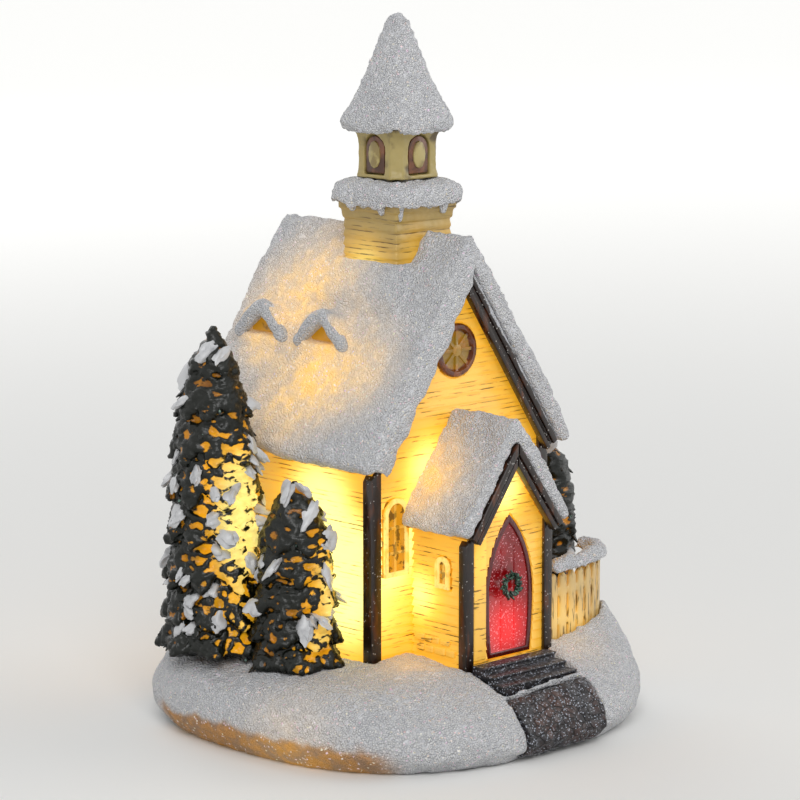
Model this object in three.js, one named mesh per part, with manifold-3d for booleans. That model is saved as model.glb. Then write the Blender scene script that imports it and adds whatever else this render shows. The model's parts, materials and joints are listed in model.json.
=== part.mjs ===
// A light-up Christmas church: a hollow, painted resin casting on a snowy base, with a battery LED below.
// Millimetres, +Z up, and the door faces -Y. The origin is on the table, under the middle of the base.
import * as THREE from "three";
import { mergeVertices } from "three/addons/utils/BufferGeometryUtils.js";
import Module from "manifold-3d";

const wasm = await Module();
wasm.setup();

// Fits
const BOND = 0.3; // glue line between two castings
const RUNNING = 0.35; // gap round what slides or turns
const MERGE = 1e-4; // points closer than this are one point

// Snow base
const BASE_WIDTH = 84;
const BASE_DEPTH = 84;
const BASE_SQUARENESS = 2.6; // 2 is an ellipse, more is squarer
const BACK_SQUARENESS = 3.6; // fuller behind, where the church's corner stands
const SNOW_LEVEL = 16;
const SNOW_TILT = 0.055; // rise for each mm to the right
const FRONT_FALL = 0.32; // fall for each mm in front of the porch
const FRONT_FALL_FROM = 24;
const DRIFT = { x: 35.5, y: -16.5, rise: 4.2, radius: 8 }; // snow blown against the fence
const BASE_SEGMENTS = 40;
const SOCKET_DEPTH = 2.6; // how deep the castings stand in the snow

// Church walls. The church's frame has x from its middle, y back from its front wall and z up from its foot
const CHURCH_X = 5;
const FRONT_YARD = 31; // from the base's front edge back to the church's front wall
const CHURCH_Y = FRONT_YARD - BASE_DEPTH / 2;
const WALL_WIDTH = 43.2;
const WALL_LENGTH = 44;
const WALL_THICKNESS = 2.2;
const GABLE_HEIGHT = 69.3;
const ROOF_PITCH = THREE.MathUtils.degToRad(56.2);
const CLAPBOARD_PITCH = 1.7;
const CLAPBOARD_STEP = 0.35;
const LIGHT_PORT = { width: 11, height: 14, sill: 4 }; // the way for the light into the porch

// Church roof. Slope lengths run down from the ridge, along the underside of the boards
const ROOF_SLOPE = 40;
const ROOF_BOARD = 1.3;
const ROOF_SNOW = 3.15;
const ROOF_SNOW_NOSE = 1.6; // how far the snow hangs over the boards' eave
const VERGE_OVERHANG = 1.2;
const VERGE_SNOW = 0.8; // thickness of the snow hanging over the left front verge
const VERGE_SNOW_DROP = 0.4;
const VERGE_SCALLOP = { length: 8.5, depth: 0.8 };
const EAVE_BITE = { y: 34, length: 6.5, depth: 4.4 }; // where the left eave's snow has broken away
const SNOW_WAVE = 0.45;

// Bargeboards
const BARGE_THICKNESS = 1.1;
const BARGE_DROP = 1.7; // below the underside of the boards
const SNOWY_BARGE_DROP = 0.1; // the left front board is narrower, behind the snow that hangs over it
const BARGE_BEAD = 0.6;
const BARGE_BEAD_WIDTH = 1.2;

// Dormers, two on each slope
const DORMER_WIDTH = 9;
const DORMER_HEIGHT = 4;
const DORMER_SILL = 56.6;
const DORMER_HOOD = 1.8;
const DORMER_PROUD = 1.6;
const DORMER_SPACING = 16.5;
const DORMER_REAR_MARGIN = 7;
const DORMER_REVEAL = 2.4;

// Corner boards
const CORNER_LEG = 1.3;
const CORNER_THICKNESS = 0.8;

// Windows
const ROUND_WINDOW = { x: -0.4, height: 55.9, diameter: 10, rim: 1.3, spokes: 8, hub: 1.1 };
const ARCHED_WINDOW_WIDTH = 6.1;
const ARCHED_WINDOW_HEIGHT = 14.4;
const ARCHED_WINDOW_SILL = 16.1;
const WINDOW_RECESS = 1;
const WINDOW_PROUD = 0.5;
const WINDOW_FRAME = 0.9;
const WINDOW_BAR = 0.6;
const WINDOW_PANE = 0.4;
const CROSSBARS = [0.3, 0.62]; // shares of the window's height

// Porch, in the church's frame
const PORCH_X = -2;
const PORCH_WIDTH = WALL_WIDTH / 2.16;
const PORCH_LENGTH = 14.4;
const PORCH_WALL = 1.8;
const PORCH_GABLE = 39.6;
const PORCH_PITCH = THREE.MathUtils.degToRad(54.1);
const PORCH_SLOPE = 18.4;
const PORCH_BOARD = 1;
const PORCH_SNOW = 2.7;
const PORCH_SNOW_NOSE = 0.8;
const PORCH_OVERHANG = 1.4;
const PORCH_BARGE_DROP = 1.5;
const PORCH_POST_LEG = 0.9;
const PORCH_WINDOW_WIDTH = 3.6;
const PORCH_WINDOW_HEIGHT = 5.9;
const PORCH_WINDOW_SILL = 14.6;
const PORCH_WINDOW_BACK = 5.9; // from the porch's front to the middle of its side window
const BESIDE_PORCH = 3.75; // from the porch's side to the middle of the window beside it
const BESIDE_CORNER = 6.6; // from the wall's corner to the middle of a window

// The church's windows: how far the middle of each is along its wall
const CHURCH_WINDOWS = [
  { name: "front_left_window", wall: "front", along: PORCH_X - PORCH_WIDTH / 2 - BESIDE_PORCH },
  { name: "front_right_window", wall: "front", along: WALL_WIDTH / 2 - BESIDE_CORNER },
  { name: "side_front_window", wall: "right", along: 13 },
  { name: "side_rear_window", wall: "right", along: 31 },
];

// Door
const DOOR_X = 1.2; // from the porch's middle
const DOOR_WIDTH = 12;
const DOOR_HEIGHT = 26;
const DOOR_SHOULDER = 13;
const DOOR_SILL = 1.5;
const DOOR_THICKNESS = 1.4;
const DOOR_RECESS = 0.7;
const DOOR_RIM = 0.9;
const DOOR_RIM_PROUD = 0.5;
const WREATH = { radius: 1.6, tube: 0.65, height: 13 };

// Steeple
const TOWER_SIDE = 14.4;
const TOWER_Y = 16;
const TOWER_TOP = 82.3;
const TOWER_FOOT = 58.6;
const TOWER_FLARE = 0.9;
const TOWER_DRIFT = { top: 71.8, spread: 2.6, depth: 6.3 }; // snow piled against the tower's foot
const LEDGE_SIDE = 18.4;
const LEDGE_HEIGHT = 3.6;
const LEDGE_DRIP = 1.6;
const BELFRY_SIDE = 11.6;
const BELFRY_CHAMFER = 1.6;
const BELFRY_HEIGHT = 9.2;
const BELFRY_FLARE = 0.9;
const BELFRY_WINDOW = { width: 4.8, height: 6.8, sill: 1, niche: 1, oval: 0.62 };
const SPIRE_SIDE = 14;
const SPIRE_HEIGHT = 14;
const CAP_SIDE = 17.4;
const CAP_HEIGHT = 20.6;
const CAP_LIP = 1.2; // how far the snow cap hangs below the spire's eaves

// Steps and path
const STEP_X = 2.5;
const STEP_WIDTH = 19;
const STEP_COUNT = 3;
const STEP_TREAD = 2.6;
const STEP_RISE = 1.2;
const STEP_TOP = 15;
const STEP_NOSING = 0.35;
const STEP_LIP = 0.45;
const STEP_BED = 1.5; // thickness under the lowest tread
const PATH_WIDTH = 20;
const PATH_THICKNESS = 2.2;
const PATH_TOP = 0.65; // where the path ends under the steps, along the mound's side
const PATH_FOOT = 0.8; // height of the path's foot above the table
const PATH_ROWS = 4;
const PATH_COLUMNS = 5;
const COBBLE_RISE = 0.5;

// Fence
const FENCE_LINE = [
  [15.6, -24.4],
  [23.5, -23.6],
  [31, -21.4],
  [35.4, -17.6],
  [36.6, -13],
];
const FENCE_FOOT = 14.6;
const FENCE_TOP = 28;
const PICKET_COUNT = 10;
const PICKET_WIDTH = 1.9;
const PICKET_THICKNESS = 1;
const PICKET_POINT = 1.1;
const RAIL_HEIGHT = 1.2;
const RAIL_LEVELS = [18.6, 24.2];
const FENCE_SNOW_WIDTH = 3.6;
const FENCE_SNOW_HEIGHT = 3;

// Trees, with their feet measured from the base's middle
const TALL_TREE = {
  x: -30,
  y: 16.8,
  width: 21,
  depth: 25,
  height: 61,
  tiers: 8,
  lobes: 8,
  segments: 24,
  turn: 0.3,
};
const SMALL_TREE = {
  x: -26,
  y: -0.8,
  width: 18,
  depth: 20,
  height: 34.5,
  tiers: 6,
  lobes: 6,
  segments: 18,
  turn: 1.1,
};
const RIGHT_TREE = {
  x: 34.2,
  y: -6.6,
  width: 11,
  depth: 10.5,
  height: 36,
  tiers: 6,
  lobes: 5,
  segments: 15,
  turn: 2,
};
const BOUGH_LOBE = 0.12; // how far boughs stand out, as a share of the tree's radius
const BOUGH_TUCK = 0.74; // how far each tier tucks in under the next
const BOUGH_DROOP = 0.035;
const BOUGH_TAPER = 0.56; // 1 is a straight cone, less is fuller towards the top

// Light module. Its frame has z up from its underside
const MODULE_Y = 8;
const MODULE_RECESS = 1; // its underside is this far above the table
const MODULE_RADIUS = 17;
const MODULE_WALL = 1.2;
const MODULE_FLOOR = 2.4;
const MODULE_LID = 1.2;
const SHAFT_RADIUS = 13.5; // the way for the light up into the church
const CELL_RADIUS = 10;
const CELL_HEIGHT = 3.2;
const CELL_Y = -2.6;
const CELL_WALL = 0.8; // the wall round the cell's pocket
const CELL_WALL_HEIGHT = 2.4;
const CONTACT_THICKNESS = 0.4;
const CONTACT_WIDTH = 3.4;
const CONTACT_LENGTH = 15;
const BOARD_THICKNESS = 1;
const DOOR_PIN_RADIUS = 0.55;
const DOOR_PIN_LENGTH = 1.1;
const FINGER_NOTCH = { radius: 2, depth: 1 };
const SLIDER_Y = 12.4;
const SLIDER_LENGTH = 4;
const SLIDER_WIDTH = 2;
const SLIDER_TRAVEL = 2.4;
const SLIDER_PROUD = 0.6; // how far the knob stands out of the module
const SLIDER_FLANGE = 0.8;
const SLIDER_POST = 1;
const SLIDER_RIBS = [-1.2, 0, 1.2];
const SWITCH_SIZE = { length: 8.6, width: 4.2, wall: 0.9 };
const LED_RADIUS = 2.5;
const LED_FLANGE = 2.9;
const LED_HEIGHT = 8.6;
const LED_FLANGE_HEIGHT = 1;
const LED_LEG = 0.5;
const LED_LEG_PITCH = 2.54;
const LED_LEG_LENGTH = 0.8;
const SCREW_X = 13.7;
const SCREW_RADIUS = 0.8;
const SCREW_HEAD_RADIUS = 1.5;
const SCREW_HEAD_HEIGHT = 0.8;
const SCREW_LENGTH = 5.4;
const BOSS_RADIUS = 1.8;

// Paint, resin and plastics
const paint = {
  snow: new THREE.MeshStandardMaterial({ name: "snow", color: 0xe4e7ea, roughness: 0.85 }),
  wall: new THREE.MeshStandardMaterial({ name: "lit_wall", color: 0xf0c060, roughness: 0.5 }),
  cream: new THREE.MeshStandardMaterial({ name: "cream", color: 0xc9bd86, roughness: 0.5 }),
  timber: new THREE.MeshStandardMaterial({ name: "timber", color: 0x2b1a12, roughness: 0.35 }),
  window: new THREE.MeshStandardMaterial({ name: "window", color: 0x9a5f1e, roughness: 0.35 }),
  pane: new THREE.MeshStandardMaterial({ name: "pane", color: 0xe0a83a, roughness: 0.3 }),
  door: new THREE.MeshStandardMaterial({ name: "door_red", color: 0xa50f14, roughness: 0.35 }),
  foliage: new THREE.MeshStandardMaterial({ name: "foliage", color: 0x1f2a1c, roughness: 0.4 }),
  stone: new THREE.MeshStandardMaterial({ name: "stone", color: 0x33302e, roughness: 0.6 }),
  fence: new THREE.MeshStandardMaterial({ name: "fence", color: 0xb08a3c, roughness: 0.5 }),
  housing: new THREE.MeshStandardMaterial({ name: "housing", color: 0xe8e6df, roughness: 0.5 }),
  slider: new THREE.MeshStandardMaterial({ name: "slider", color: 0x1a1a1a, roughness: 0.5 }),
  lens: new THREE.MeshStandardMaterial({ name: "lens", color: 0xffe9b0, roughness: 0.1 }),
  board: new THREE.MeshStandardMaterial({ name: "board", color: 0x1f5c33, roughness: 0.5 }),
  metal: new THREE.MeshStandardMaterial({ name: "metal", color: 0xb9bcc0, roughness: 0.3, metalness: 1 }),
};

// A closed geometry as a solid that can be joined and cut
function solid(geometry) {
  const bare = new THREE.BufferGeometry().setAttribute("position", geometry.getAttribute("position"));
  if (geometry.index) bare.setIndex(geometry.index);
  const merged = mergeVertices(bare, MERGE);
  const index = merged.index.array;
  const triVerts = [];
  for (let i = 0; i < index.length; i += 3) {
    const [a, b, c] = [index[i], index[i + 1], index[i + 2]];
    if (a !== b && b !== c && c !== a) triVerts.push(a, b, c);
  }
  const vertProperties = merged.attributes.position.array;
  const mesh = new wasm.Mesh({ numProp: 3, vertProperties, triVerts: new Uint32Array(triVerts) });
  return new wasm.Manifold(mesh);
}

// A solid back as a geometry
function geometryOf(body) {
  const mesh = body.getMesh();
  const geometry = new THREE.BufferGeometry();
  geometry.setAttribute("position", new THREE.BufferAttribute(new Float32Array(mesh.vertProperties), 3));
  geometry.setIndex(new THREE.BufferAttribute(new Uint32Array(mesh.triVerts), 1));
  geometry.computeVertexNormals();
  return geometry;
}

function part(name, shape, material) {
  const body = shape.isBufferGeometry ? solid(shape) : shape;
  const mesh = new THREE.Mesh(geometryOf(body), material);
  mesh.name = name;
  return mesh;
}

const RIGHT = new THREE.Vector3(1, 0, 0);
const BACK = new THREE.Vector3(0, 1, 0);
const UP = new THREE.Vector3(0, 0, 1);
const FRONT = new THREE.Vector3(0, -1, 0);
const ALONG_X = new THREE.Matrix4().makeBasis(BACK, UP, RIGHT);
const ALONG_Y = new THREE.Matrix4().makeBasis(RIGHT, UP, FRONT);
const ARC_STEPS = 6;
const SIDES = [
  { across: "left", x: -1 },
  { across: "right", x: 1 },
];

// A flat outline pushed through along an axis, from one coordinate to another
function prism(shape, axis, from, to, steps = 1) {
  const options = { depth: to - from, steps, bevelEnabled: false, curveSegments: ARC_STEPS };
  const geometry = new THREE.ExtrudeGeometry(shape, options);
  geometry.translate(0, 0, axis === "y" ? -to : from);
  if (axis === "x") geometry.applyMatrix4(ALONG_X);
  if (axis === "y") geometry.applyMatrix4(ALONG_Y);
  return geometry;
}

function outline(points) {
  return new THREE.Shape(points.map(([x, y]) => new THREE.Vector2(x, y)));
}

function rectangle(left, right, bottom, top) {
  const corners = [
    [left, bottom],
    [right, bottom],
    [right, top],
    [left, top],
  ];
  return outline(corners);
}

// An upright block between two corners
function block(low, high) {
  return prism(rectangle(low[0], high[0], low[1], high[1]), "z", low[2], high[2]);
}

// A profile of [radius, height] points, from the lower end of the axis to the upper, turned about Z
function turned(points, segments, start = 0) {
  const profile = points.map(([radius, height]) => new THREE.Vector2(radius, height));
  return new THREE.LatheGeometry(profile, segments, start).rotateX(Math.PI / 2);
}

function disc(radius, bottom, top, segments = 32) {
  const profile = [
    [0, bottom],
    [radius, bottom],
    [radius, top],
    [0, top],
  ];
  return turned(profile, segments);
}

// Moves each point of a geometry to where a function puts it
function bent(geometry, place) {
  const position = geometry.getAttribute("position");
  const point = new THREE.Vector3();
  for (let i = 0; i < position.count; i++) {
    point.fromBufferAttribute(position, i);
    place(point);
    position.setXYZ(i, point.x, point.y, point.z);
  }
  return geometry;
}

// Turns a round section into a square one with round corners: the higher the power, the sharper
function squared(point, power) {
  const reach = Math.hypot(point.x, point.y);
  if (reach < MERGE) return;
  const c = Math.abs(point.x) / reach;
  const s = Math.abs(point.y) / reach;
  const grow = (c ** power + s ** power) ** (-1 / power);
  point.x *= grow;
  point.y *= grow;
}

// A gentle, repeatable unevenness between -1 and 1, for snow and boughs modelled by hand
function ripple(a, b, length) {
  const k = (2 * Math.PI) / length;
  const first = Math.sin(k * a + 1.3 * Math.sin(0.7 * k * b));
  const second = Math.sin(1.3 * k * b + 2.1 * Math.cos(0.6 * k * a));
  return (first + second) / 2;
}

function roundArch(width, height, foot = 0) {
  const radius = width / 2;
  const shape = new THREE.Shape();
  shape.moveTo(-radius, foot);
  shape.lineTo(radius, foot);
  shape.lineTo(radius, height - radius);
  shape.absarc(0, height - radius, radius, 0, Math.PI);
  return shape;
}

// The door's outline: sides that swell to the shoulder and meet in a point
function pointedArch(grow) {
  const half = DOOR_WIDTH / 2 + grow;
  const foot = half * 0.9;
  const top = DOOR_HEIGHT + grow * 1.6;
  const sweep = DOOR_SHOULDER + (top - DOOR_SHOULDER) * 0.62;
  const shape = new THREE.Shape();
  shape.moveTo(-foot, -grow);
  shape.lineTo(foot, -grow);
  shape.quadraticCurveTo(half * 1.04, DOOR_SHOULDER * 0.6, half, DOOR_SHOULDER);
  shape.quadraticCurveTo(half * 0.86, sweep, 0, top);
  shape.quadraticCurveTo(-half * 0.86, sweep, -half, DOOR_SHOULDER);
  shape.quadraticCurveTo(-half * 1.04, DOOR_SHOULDER * 0.6, -foot, -grow);
  return shape;
}

// A square tower of clapboards, each leaning out towards its lower edge
function clapboards(width, length, bottom, top, flare = 0) {
  const rows = Math.ceil((top - bottom) / CLAPBOARD_PITCH);
  const profile = [[0, bottom]];
  for (let row = 0; row < rows; row++) {
    const low = bottom + row * CLAPBOARD_PITCH;
    const high = Math.min(low + CLAPBOARD_PITCH, top);
    profile.push([1 + CLAPBOARD_STEP, low], [1, high]);
  }
  profile.push([0, top]);
  return bent(turned(profile, 4, Math.PI / 4), (point) => {
    const reach = Math.max(Math.abs(point.x), Math.abs(point.y)) * Math.SQRT2;
    if (reach < 0.5) return;
    const proud = reach - 1 - CLAPBOARD_STEP + flare * THREE.MathUtils.smoothstep(point.z, top - 4, top);
    point.x = Math.sign(point.x) * (width / 2 + proud);
    point.y = Math.sign(point.y) * (length / 2 + proud);
  });
}

// A pitched roof's section: points are given as distance down the slope and height off its underside
class Slope {
  constructor(peak, pitch) {
    this.peak = peak;
    this.pitch = pitch;
  }

  at(down, off) {
    const x = down * Math.cos(this.pitch) + off * Math.sin(this.pitch);
    return [x, this.peak - down * Math.sin(this.pitch) + off * Math.cos(this.pitch)];
  }

  // How far down the slope a point stands that is `off` above the underside and `x` from the middle
  down(x, off) {
    return (x - off * Math.sin(this.pitch)) / Math.cos(this.pitch);
  }

  ridge(off) {
    return this.peak + off / Math.cos(this.pitch);
  }

  // Distance from the middle at a height, on the face that is `off` above the underside
  reach(height, off) {
    return (this.ridge(off) - height) / Math.tan(this.pitch);
  }

  // One half of a sheet between two heights off the underside, on the right for 1 or on the left for -1
  half(side, x, end, low, high) {
    const points = [
      this.at(this.down(x, low), low),
      this.at(end, low),
      this.at(end, high),
      this.at(this.down(x, high), high),
    ];
    return outline(points.map(([across, up]) => [side * across, up]));
  }

  // A sheet folded over the ridge
  folded(end, low, high) {
    const [lowX, lowZ] = this.at(end, low);
    const [highX, highZ] = this.at(end, high);
    const points = [
      [lowX, lowZ],
      [highX, highZ],
      [0, this.ridge(high)],
      [-highX, highZ],
      [-lowX, lowZ],
      [0, this.ridge(low)],
    ];
    return outline(points);
  }

  // All that lies under the face that is `off` above the underside
  under(off, halfWidth, foot) {
    const top = this.ridge(off);
    const side = top - halfWidth * Math.tan(this.pitch);
    const points = [
      [-halfWidth, foot],
      [halfWidth, foot],
      [halfWidth, side],
      [0, top],
      [-halfWidth, side],
    ];
    return outline(points);
  }
}

const roof = new Slope(GABLE_HEIGHT, ROOF_PITCH);
const porchRoof = new Slope(PORCH_GABLE, PORCH_PITCH);

// Snow on a roof: a folded blanket with a round nose at each eave, a soft ridge and an uneven top
function snowBlanket(slope, { lift, thickness, end, from, to, steps, bite }) {
  const nose = thickness / 2;
  const noseSteps = 5;
  const slopeSteps = 4;
  const right = [];
  for (let i = 0; i <= noseSteps; i++) {
    const angle = Math.PI * (i / noseSteps - 0.5);
    right.push(slope.at(end - nose + nose * Math.cos(angle), lift + nose + nose * Math.sin(angle)));
  }
  const top = slope.down(thickness * 0.4, lift + thickness);
  for (let i = 1; i <= slopeSteps; i++) {
    const down = THREE.MathUtils.lerp(end - nose, top, i / slopeSteps);
    right.push(slope.at(down, lift + thickness));
  }
  const left = right.map(([x, z]) => [-x, z]).reverse();
  const crown = [0, slope.ridge(lift + thickness) - thickness * 0.2];
  const section = outline([...right, crown, ...left, [0, slope.ridge(lift)]]);
  const cos = Math.cos(slope.pitch);
  const sin = Math.sin(slope.pitch);
  return bent(prism(section, "y", from, to, steps), (point) => {
    const side = Math.sign(point.x);
    const across = Math.abs(point.x);
    let down = across * cos - (point.z - slope.peak) * sin;
    let off = across * sin + (point.z - slope.peak) * cos;
    down -= bite(point.y, side) * THREE.MathUtils.smoothstep(down, end - 9, end);
    const free = THREE.MathUtils.smoothstep(off, lift, lift + thickness);
    off += SNOW_WAVE * free * ripple(down + 7 * side, point.y, 15);
    const inward = SNOW_WAVE * (1 - ripple(down * 1.7, side, 9));
    const atFront = point.y < from + MERGE;
    const atRear = point.y > to - MERGE;
    if (atFront) point.y += inward;
    if (atRear) point.y -= inward;
    point.x = side * (down * cos + off * sin);
    point.z = slope.peak - down * sin + off * cos;
  });
}

// Height of the snow that the castings stand in
function snowHeight(x, y) {
  return SNOW_LEVEL + SNOW_TILT * x - FRONT_FALL * Math.max(0, -y - FRONT_FALL_FROM);
}

// The mound's side from its foot to its middle, as shares of the outline and of the height
const moundSide = new THREE.SplineCurve([
  new THREE.Vector2(0.93, 0),
  new THREE.Vector2(1, 0.28),
  new THREE.Vector2(0.985, 0.6),
  new THREE.Vector2(0.9, 0.89),
  new THREE.Vector2(0.68, 0.985),
  new THREE.Vector2(0, 1),
]);
const MOUND_RINGS = 11;

// How far the base's outline is from the middle, in a direction
function baseReach(angle) {
  const behind = Math.cos(angle) > 0 && Math.sin(angle) > 0;
  const power = behind ? BACK_SQUARENESS : BASE_SQUARENESS;
  const c = Math.abs(Math.cos(angle)) / (BASE_WIDTH / 2);
  const s = Math.abs(Math.sin(angle)) / (BASE_DEPTH / 2);
  return (c ** power + s ** power) ** (-1 / power);
}

function mound() {
  const profile = moundSide.getPoints(MOUND_RINGS).map((p) => [Math.max(p.x, 0), p.y]);
  const body = bent(turned([[0, 0], ...profile], BASE_SEGMENTS), (point) => {
    const angle = Math.atan2(point.y, point.x);
    const share = Math.hypot(point.x, point.y);
    const x = share * baseReach(angle) * Math.cos(angle);
    const y = share * baseReach(angle) * Math.sin(angle);
    const lumps = 0.45 * ripple(x, y, 23) * point.z;
    const fromDrift = Math.hypot(x - DRIFT.x, y - DRIFT.y) / DRIFT.radius;
    const drift = DRIFT.rise * Math.exp(-(fromDrift ** 2)) * THREE.MathUtils.smoothstep(point.z, 0.3, 0.9);
    point.set(x, y, point.z * (snowHeight(x, y) + lumps) + drift);
  });
  return solid(body);
}

const CHURCH_FOOT = SNOW_LEVEL - SOCKET_DEPTH;
const HALF_WALL = WALL_WIDTH / 2;
const CORNER_OUT = BOND + CORNER_THICKNESS; // how far a corner board stands out of the clapboards
const BARGE_FACE = VERGE_OVERHANG + BOND + BARGE_THICKNESS;
const BEAD_FACE = BARGE_FACE + BARGE_BEAD;
const SNOW_LIFT = ROOF_BOARD + BOND;

// A slab of the base's front face, following the mound: `low` and `high` are heights off its surface
function pathSlab({ width, low, high, top, foot, columns, rows, relief }) {
  const slab = new THREE.BoxGeometry(1, 1, 1, columns, rows, 1);
  return bent(slab, (point) => {
    const column = Math.round((point.x + 0.5) * columns);
    const row = Math.round((point.y + 0.5) * rows);
    const at = top * (point.y + 0.5);
    const side = moundSide.getPoint(at);
    const tangent = moundSide.getTangent(at);
    const x = STEP_X + width * point.x;
    const y = (-side.x * BASE_DEPTH) / 2;
    const z = side.y * snowHeight(x, y);
    const along = new THREE.Vector2(-tangent.x * (BASE_DEPTH / 2), tangent.y * SNOW_LEVEL).normalize();
    const off = point.z > 0 ? high + relief(column, row) : low;
    point.set(x, y - along.y * off, row === 0 ? foot : Math.max(z + along.x * off, foot));
  });
}

// A stone stands up in the middle of each cell of three by three points
function cobbles(column, row) {
  const joint = row % 3 === 0 || (column + Math.floor(row / 3)) % 3 === 0;
  return joint ? 0 : COBBLE_RISE * (1 + 0.4 * ripple(column, row, 4));
}

function stonePath() {
  return pathSlab({
    width: PATH_WIDTH,
    low: -PATH_THICKNESS,
    high: -COBBLE_RISE / 2,
    top: PATH_TOP,
    foot: PATH_FOOT,
    columns: 3 * PATH_COLUMNS,
    rows: 3 * PATH_ROWS,
    relief: cobbles,
  });
}

function pathSocket() {
  return pathSlab({
    width: PATH_WIDTH + 2 * BOND,
    low: -PATH_THICKNESS - BOND,
    high: PATH_THICKNESS,
    top: PATH_TOP + 0.02,
    foot: PATH_FOOT - BOND,
    columns: 1,
    rows: 3 * PATH_ROWS,
    relief: () => 0,
  });
}

const STEP_REAR = CHURCH_Y - PORCH_LENGTH - CORNER_OUT - BOND;
const STEP_FOOT = STEP_TOP - STEP_COUNT * STEP_RISE - STEP_BED;

// The flight of steps, with a nosing on each tread
function doorSteps() {
  const points = [
    [0, STEP_FOOT],
    [0, STEP_TOP],
  ];
  for (let i = 1; i <= STEP_COUNT; i++) {
    const top = STEP_TOP - (i - 1) * STEP_RISE;
    const edge = -i * STEP_TREAD;
    const foot = i < STEP_COUNT ? top - STEP_RISE : STEP_FOOT;
    const lip = top - STEP_LIP;
    points.push([edge - STEP_NOSING, top], [edge - STEP_NOSING, lip], [edge, lip], [edge, foot]);
  }
  const flight = prism(outline(points), "x", STEP_X - STEP_WIDTH / 2, STEP_X + STEP_WIDTH / 2);
  return flight.translate(0, STEP_REAR, 0);
}

function stepSocket() {
  const half = STEP_WIDTH / 2 + BOND;
  const front = STEP_REAR - STEP_COUNT * STEP_TREAD - STEP_NOSING - BOND;
  return block([STEP_X - half, front, STEP_FOOT - BOND], [STEP_X + half, STEP_REAR + BOND, STEP_TOP + 5]);
}

const fenceCurve = new THREE.CatmullRomCurve3(FENCE_LINE.map(([x, y]) => new THREE.Vector3(x, y, 0)));

// Puts a straight piece, lying along x from -0.5 to 0.5, along a stretch of the fence
function alongFence(geometry, from = 0, to = 1) {
  return bent(geometry, (point) => {
    const wanted = THREE.MathUtils.lerp(from, to, point.x + 0.5);
    const at = THREE.MathUtils.clamp(wanted, 0, 1);
    const centre = fenceCurve.getPointAt(at);
    const along = fenceCurve.getTangentAt(at);
    centre.addScaledVector(along, (wanted - at) * fenceCurve.getLength());
    point.set(centre.x - along.y * point.y, centre.y + along.x * point.y, point.z);
  });
}

function fence() {
  const half = PICKET_THICKNESS / 2;
  let body;
  for (const level of RAIL_LEVELS) {
    const rail = new THREE.BoxGeometry(1, PICKET_THICKNESS * 0.7, RAIL_HEIGHT, 8, 1, 1);
    const placed = solid(alongFence(rail.translate(0, half * 0.5, level)));
    body = body ? body.add(placed) : placed;
  }
  const length = fenceCurve.getLength();
  for (let i = 0; i < PICKET_COUNT; i++) {
    const lean = 0.5 * ripple(i * 3.1, 1, 7);
    const shoulder = FENCE_TOP - PICKET_POINT + lean;
    const picket = outline([
      [-0.5, FENCE_FOOT],
      [0.5, FENCE_FOOT],
      [0.5, shoulder],
      [0, FENCE_TOP],
      [-0.5, shoulder],
    ]);
    const middle = PICKET_WIDTH / 2 + ((length - PICKET_WIDTH) * i) / (PICKET_COUNT - 1);
    const from = (middle - PICKET_WIDTH / 2) / length;
    const to = (middle + PICKET_WIDTH / 2) / length;
    body = body.add(solid(alongFence(prism(picket, "y", -half, half), from, to)));
  }
  return body;
}

function fenceSocket() {
  const width = PICKET_THICKNESS + 2 * BOND;
  const height = FENCE_TOP - FENCE_FOOT + BOND;
  const slot = new THREE.BoxGeometry(1, width, height, 12, 1, 1);
  return alongFence(slot.translate(0, 0, FENCE_FOOT - BOND + height / 2), -0.02, 1.02);
}

// A lumpy roll of snow along the pickets' tips
function fenceSnow() {
  const foot = FENCE_TOP + BOND;
  const section = new THREE.Shape();
  const half = FENCE_SNOW_WIDTH / 2;
  section.moveTo(-half, foot);
  section.lineTo(half, foot);
  section.bezierCurveTo(half, foot + FENCE_SNOW_HEIGHT, -half, foot + FENCE_SNOW_HEIGHT, -half, foot);
  const roll = prism(section, "x", -0.5, 0.5, 14);
  return bent(alongFence(roll), (point) => {
    const lump = 1 + 0.35 * ripple(point.x, point.y, 9);
    point.z = foot + (point.z - foot) * lump;
  });
}

// A conifer of drooping tiers, with the boughs as lobes round each
function conifer(tree, grow = 0) {
  const profile = [[0, 0]];
  const taper = (share) => (1 - share) ** BOUGH_TAPER;
  for (let tier = 0; tier < tree.tiers; tier++) {
    const low = tier / tree.tiers;
    const high = (tier + 1) / tree.tiers;
    profile.push([taper(low), low + (tier === 0 ? BOUGH_DROOP : 0)]);
    if (tier < tree.tiers - 1) profile.push([taper(high) * BOUGH_TUCK, high]);
  }
  profile.push([0, 1]);
  const body = bent(turned(profile, tree.segments), (point) => {
    const angle = Math.atan2(point.y, point.x);
    const reach = Math.hypot(point.x, point.y);
    const lobe = Math.cos(tree.lobes * angle + tree.turn * point.z * tree.tiers * 4);
    const uneven = 1 - BOUGH_LOBE + BOUGH_LOBE * lobe;
    const tip = lobe * BOUGH_DROOP * THREE.MathUtils.smoothstep(reach, 0.1, 0.5);
    point.x *= uneven * (tree.width / 2 + grow);
    point.y *= uneven * (tree.depth / 2 + grow);
    point.z = point.z * (tree.height + 2 * grow) - grow - tip * tree.height * Math.min(1, point.z * 6);
  });
  return solid(body.translate(tree.x, tree.y, CHURCH_FOOT));
}

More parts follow.
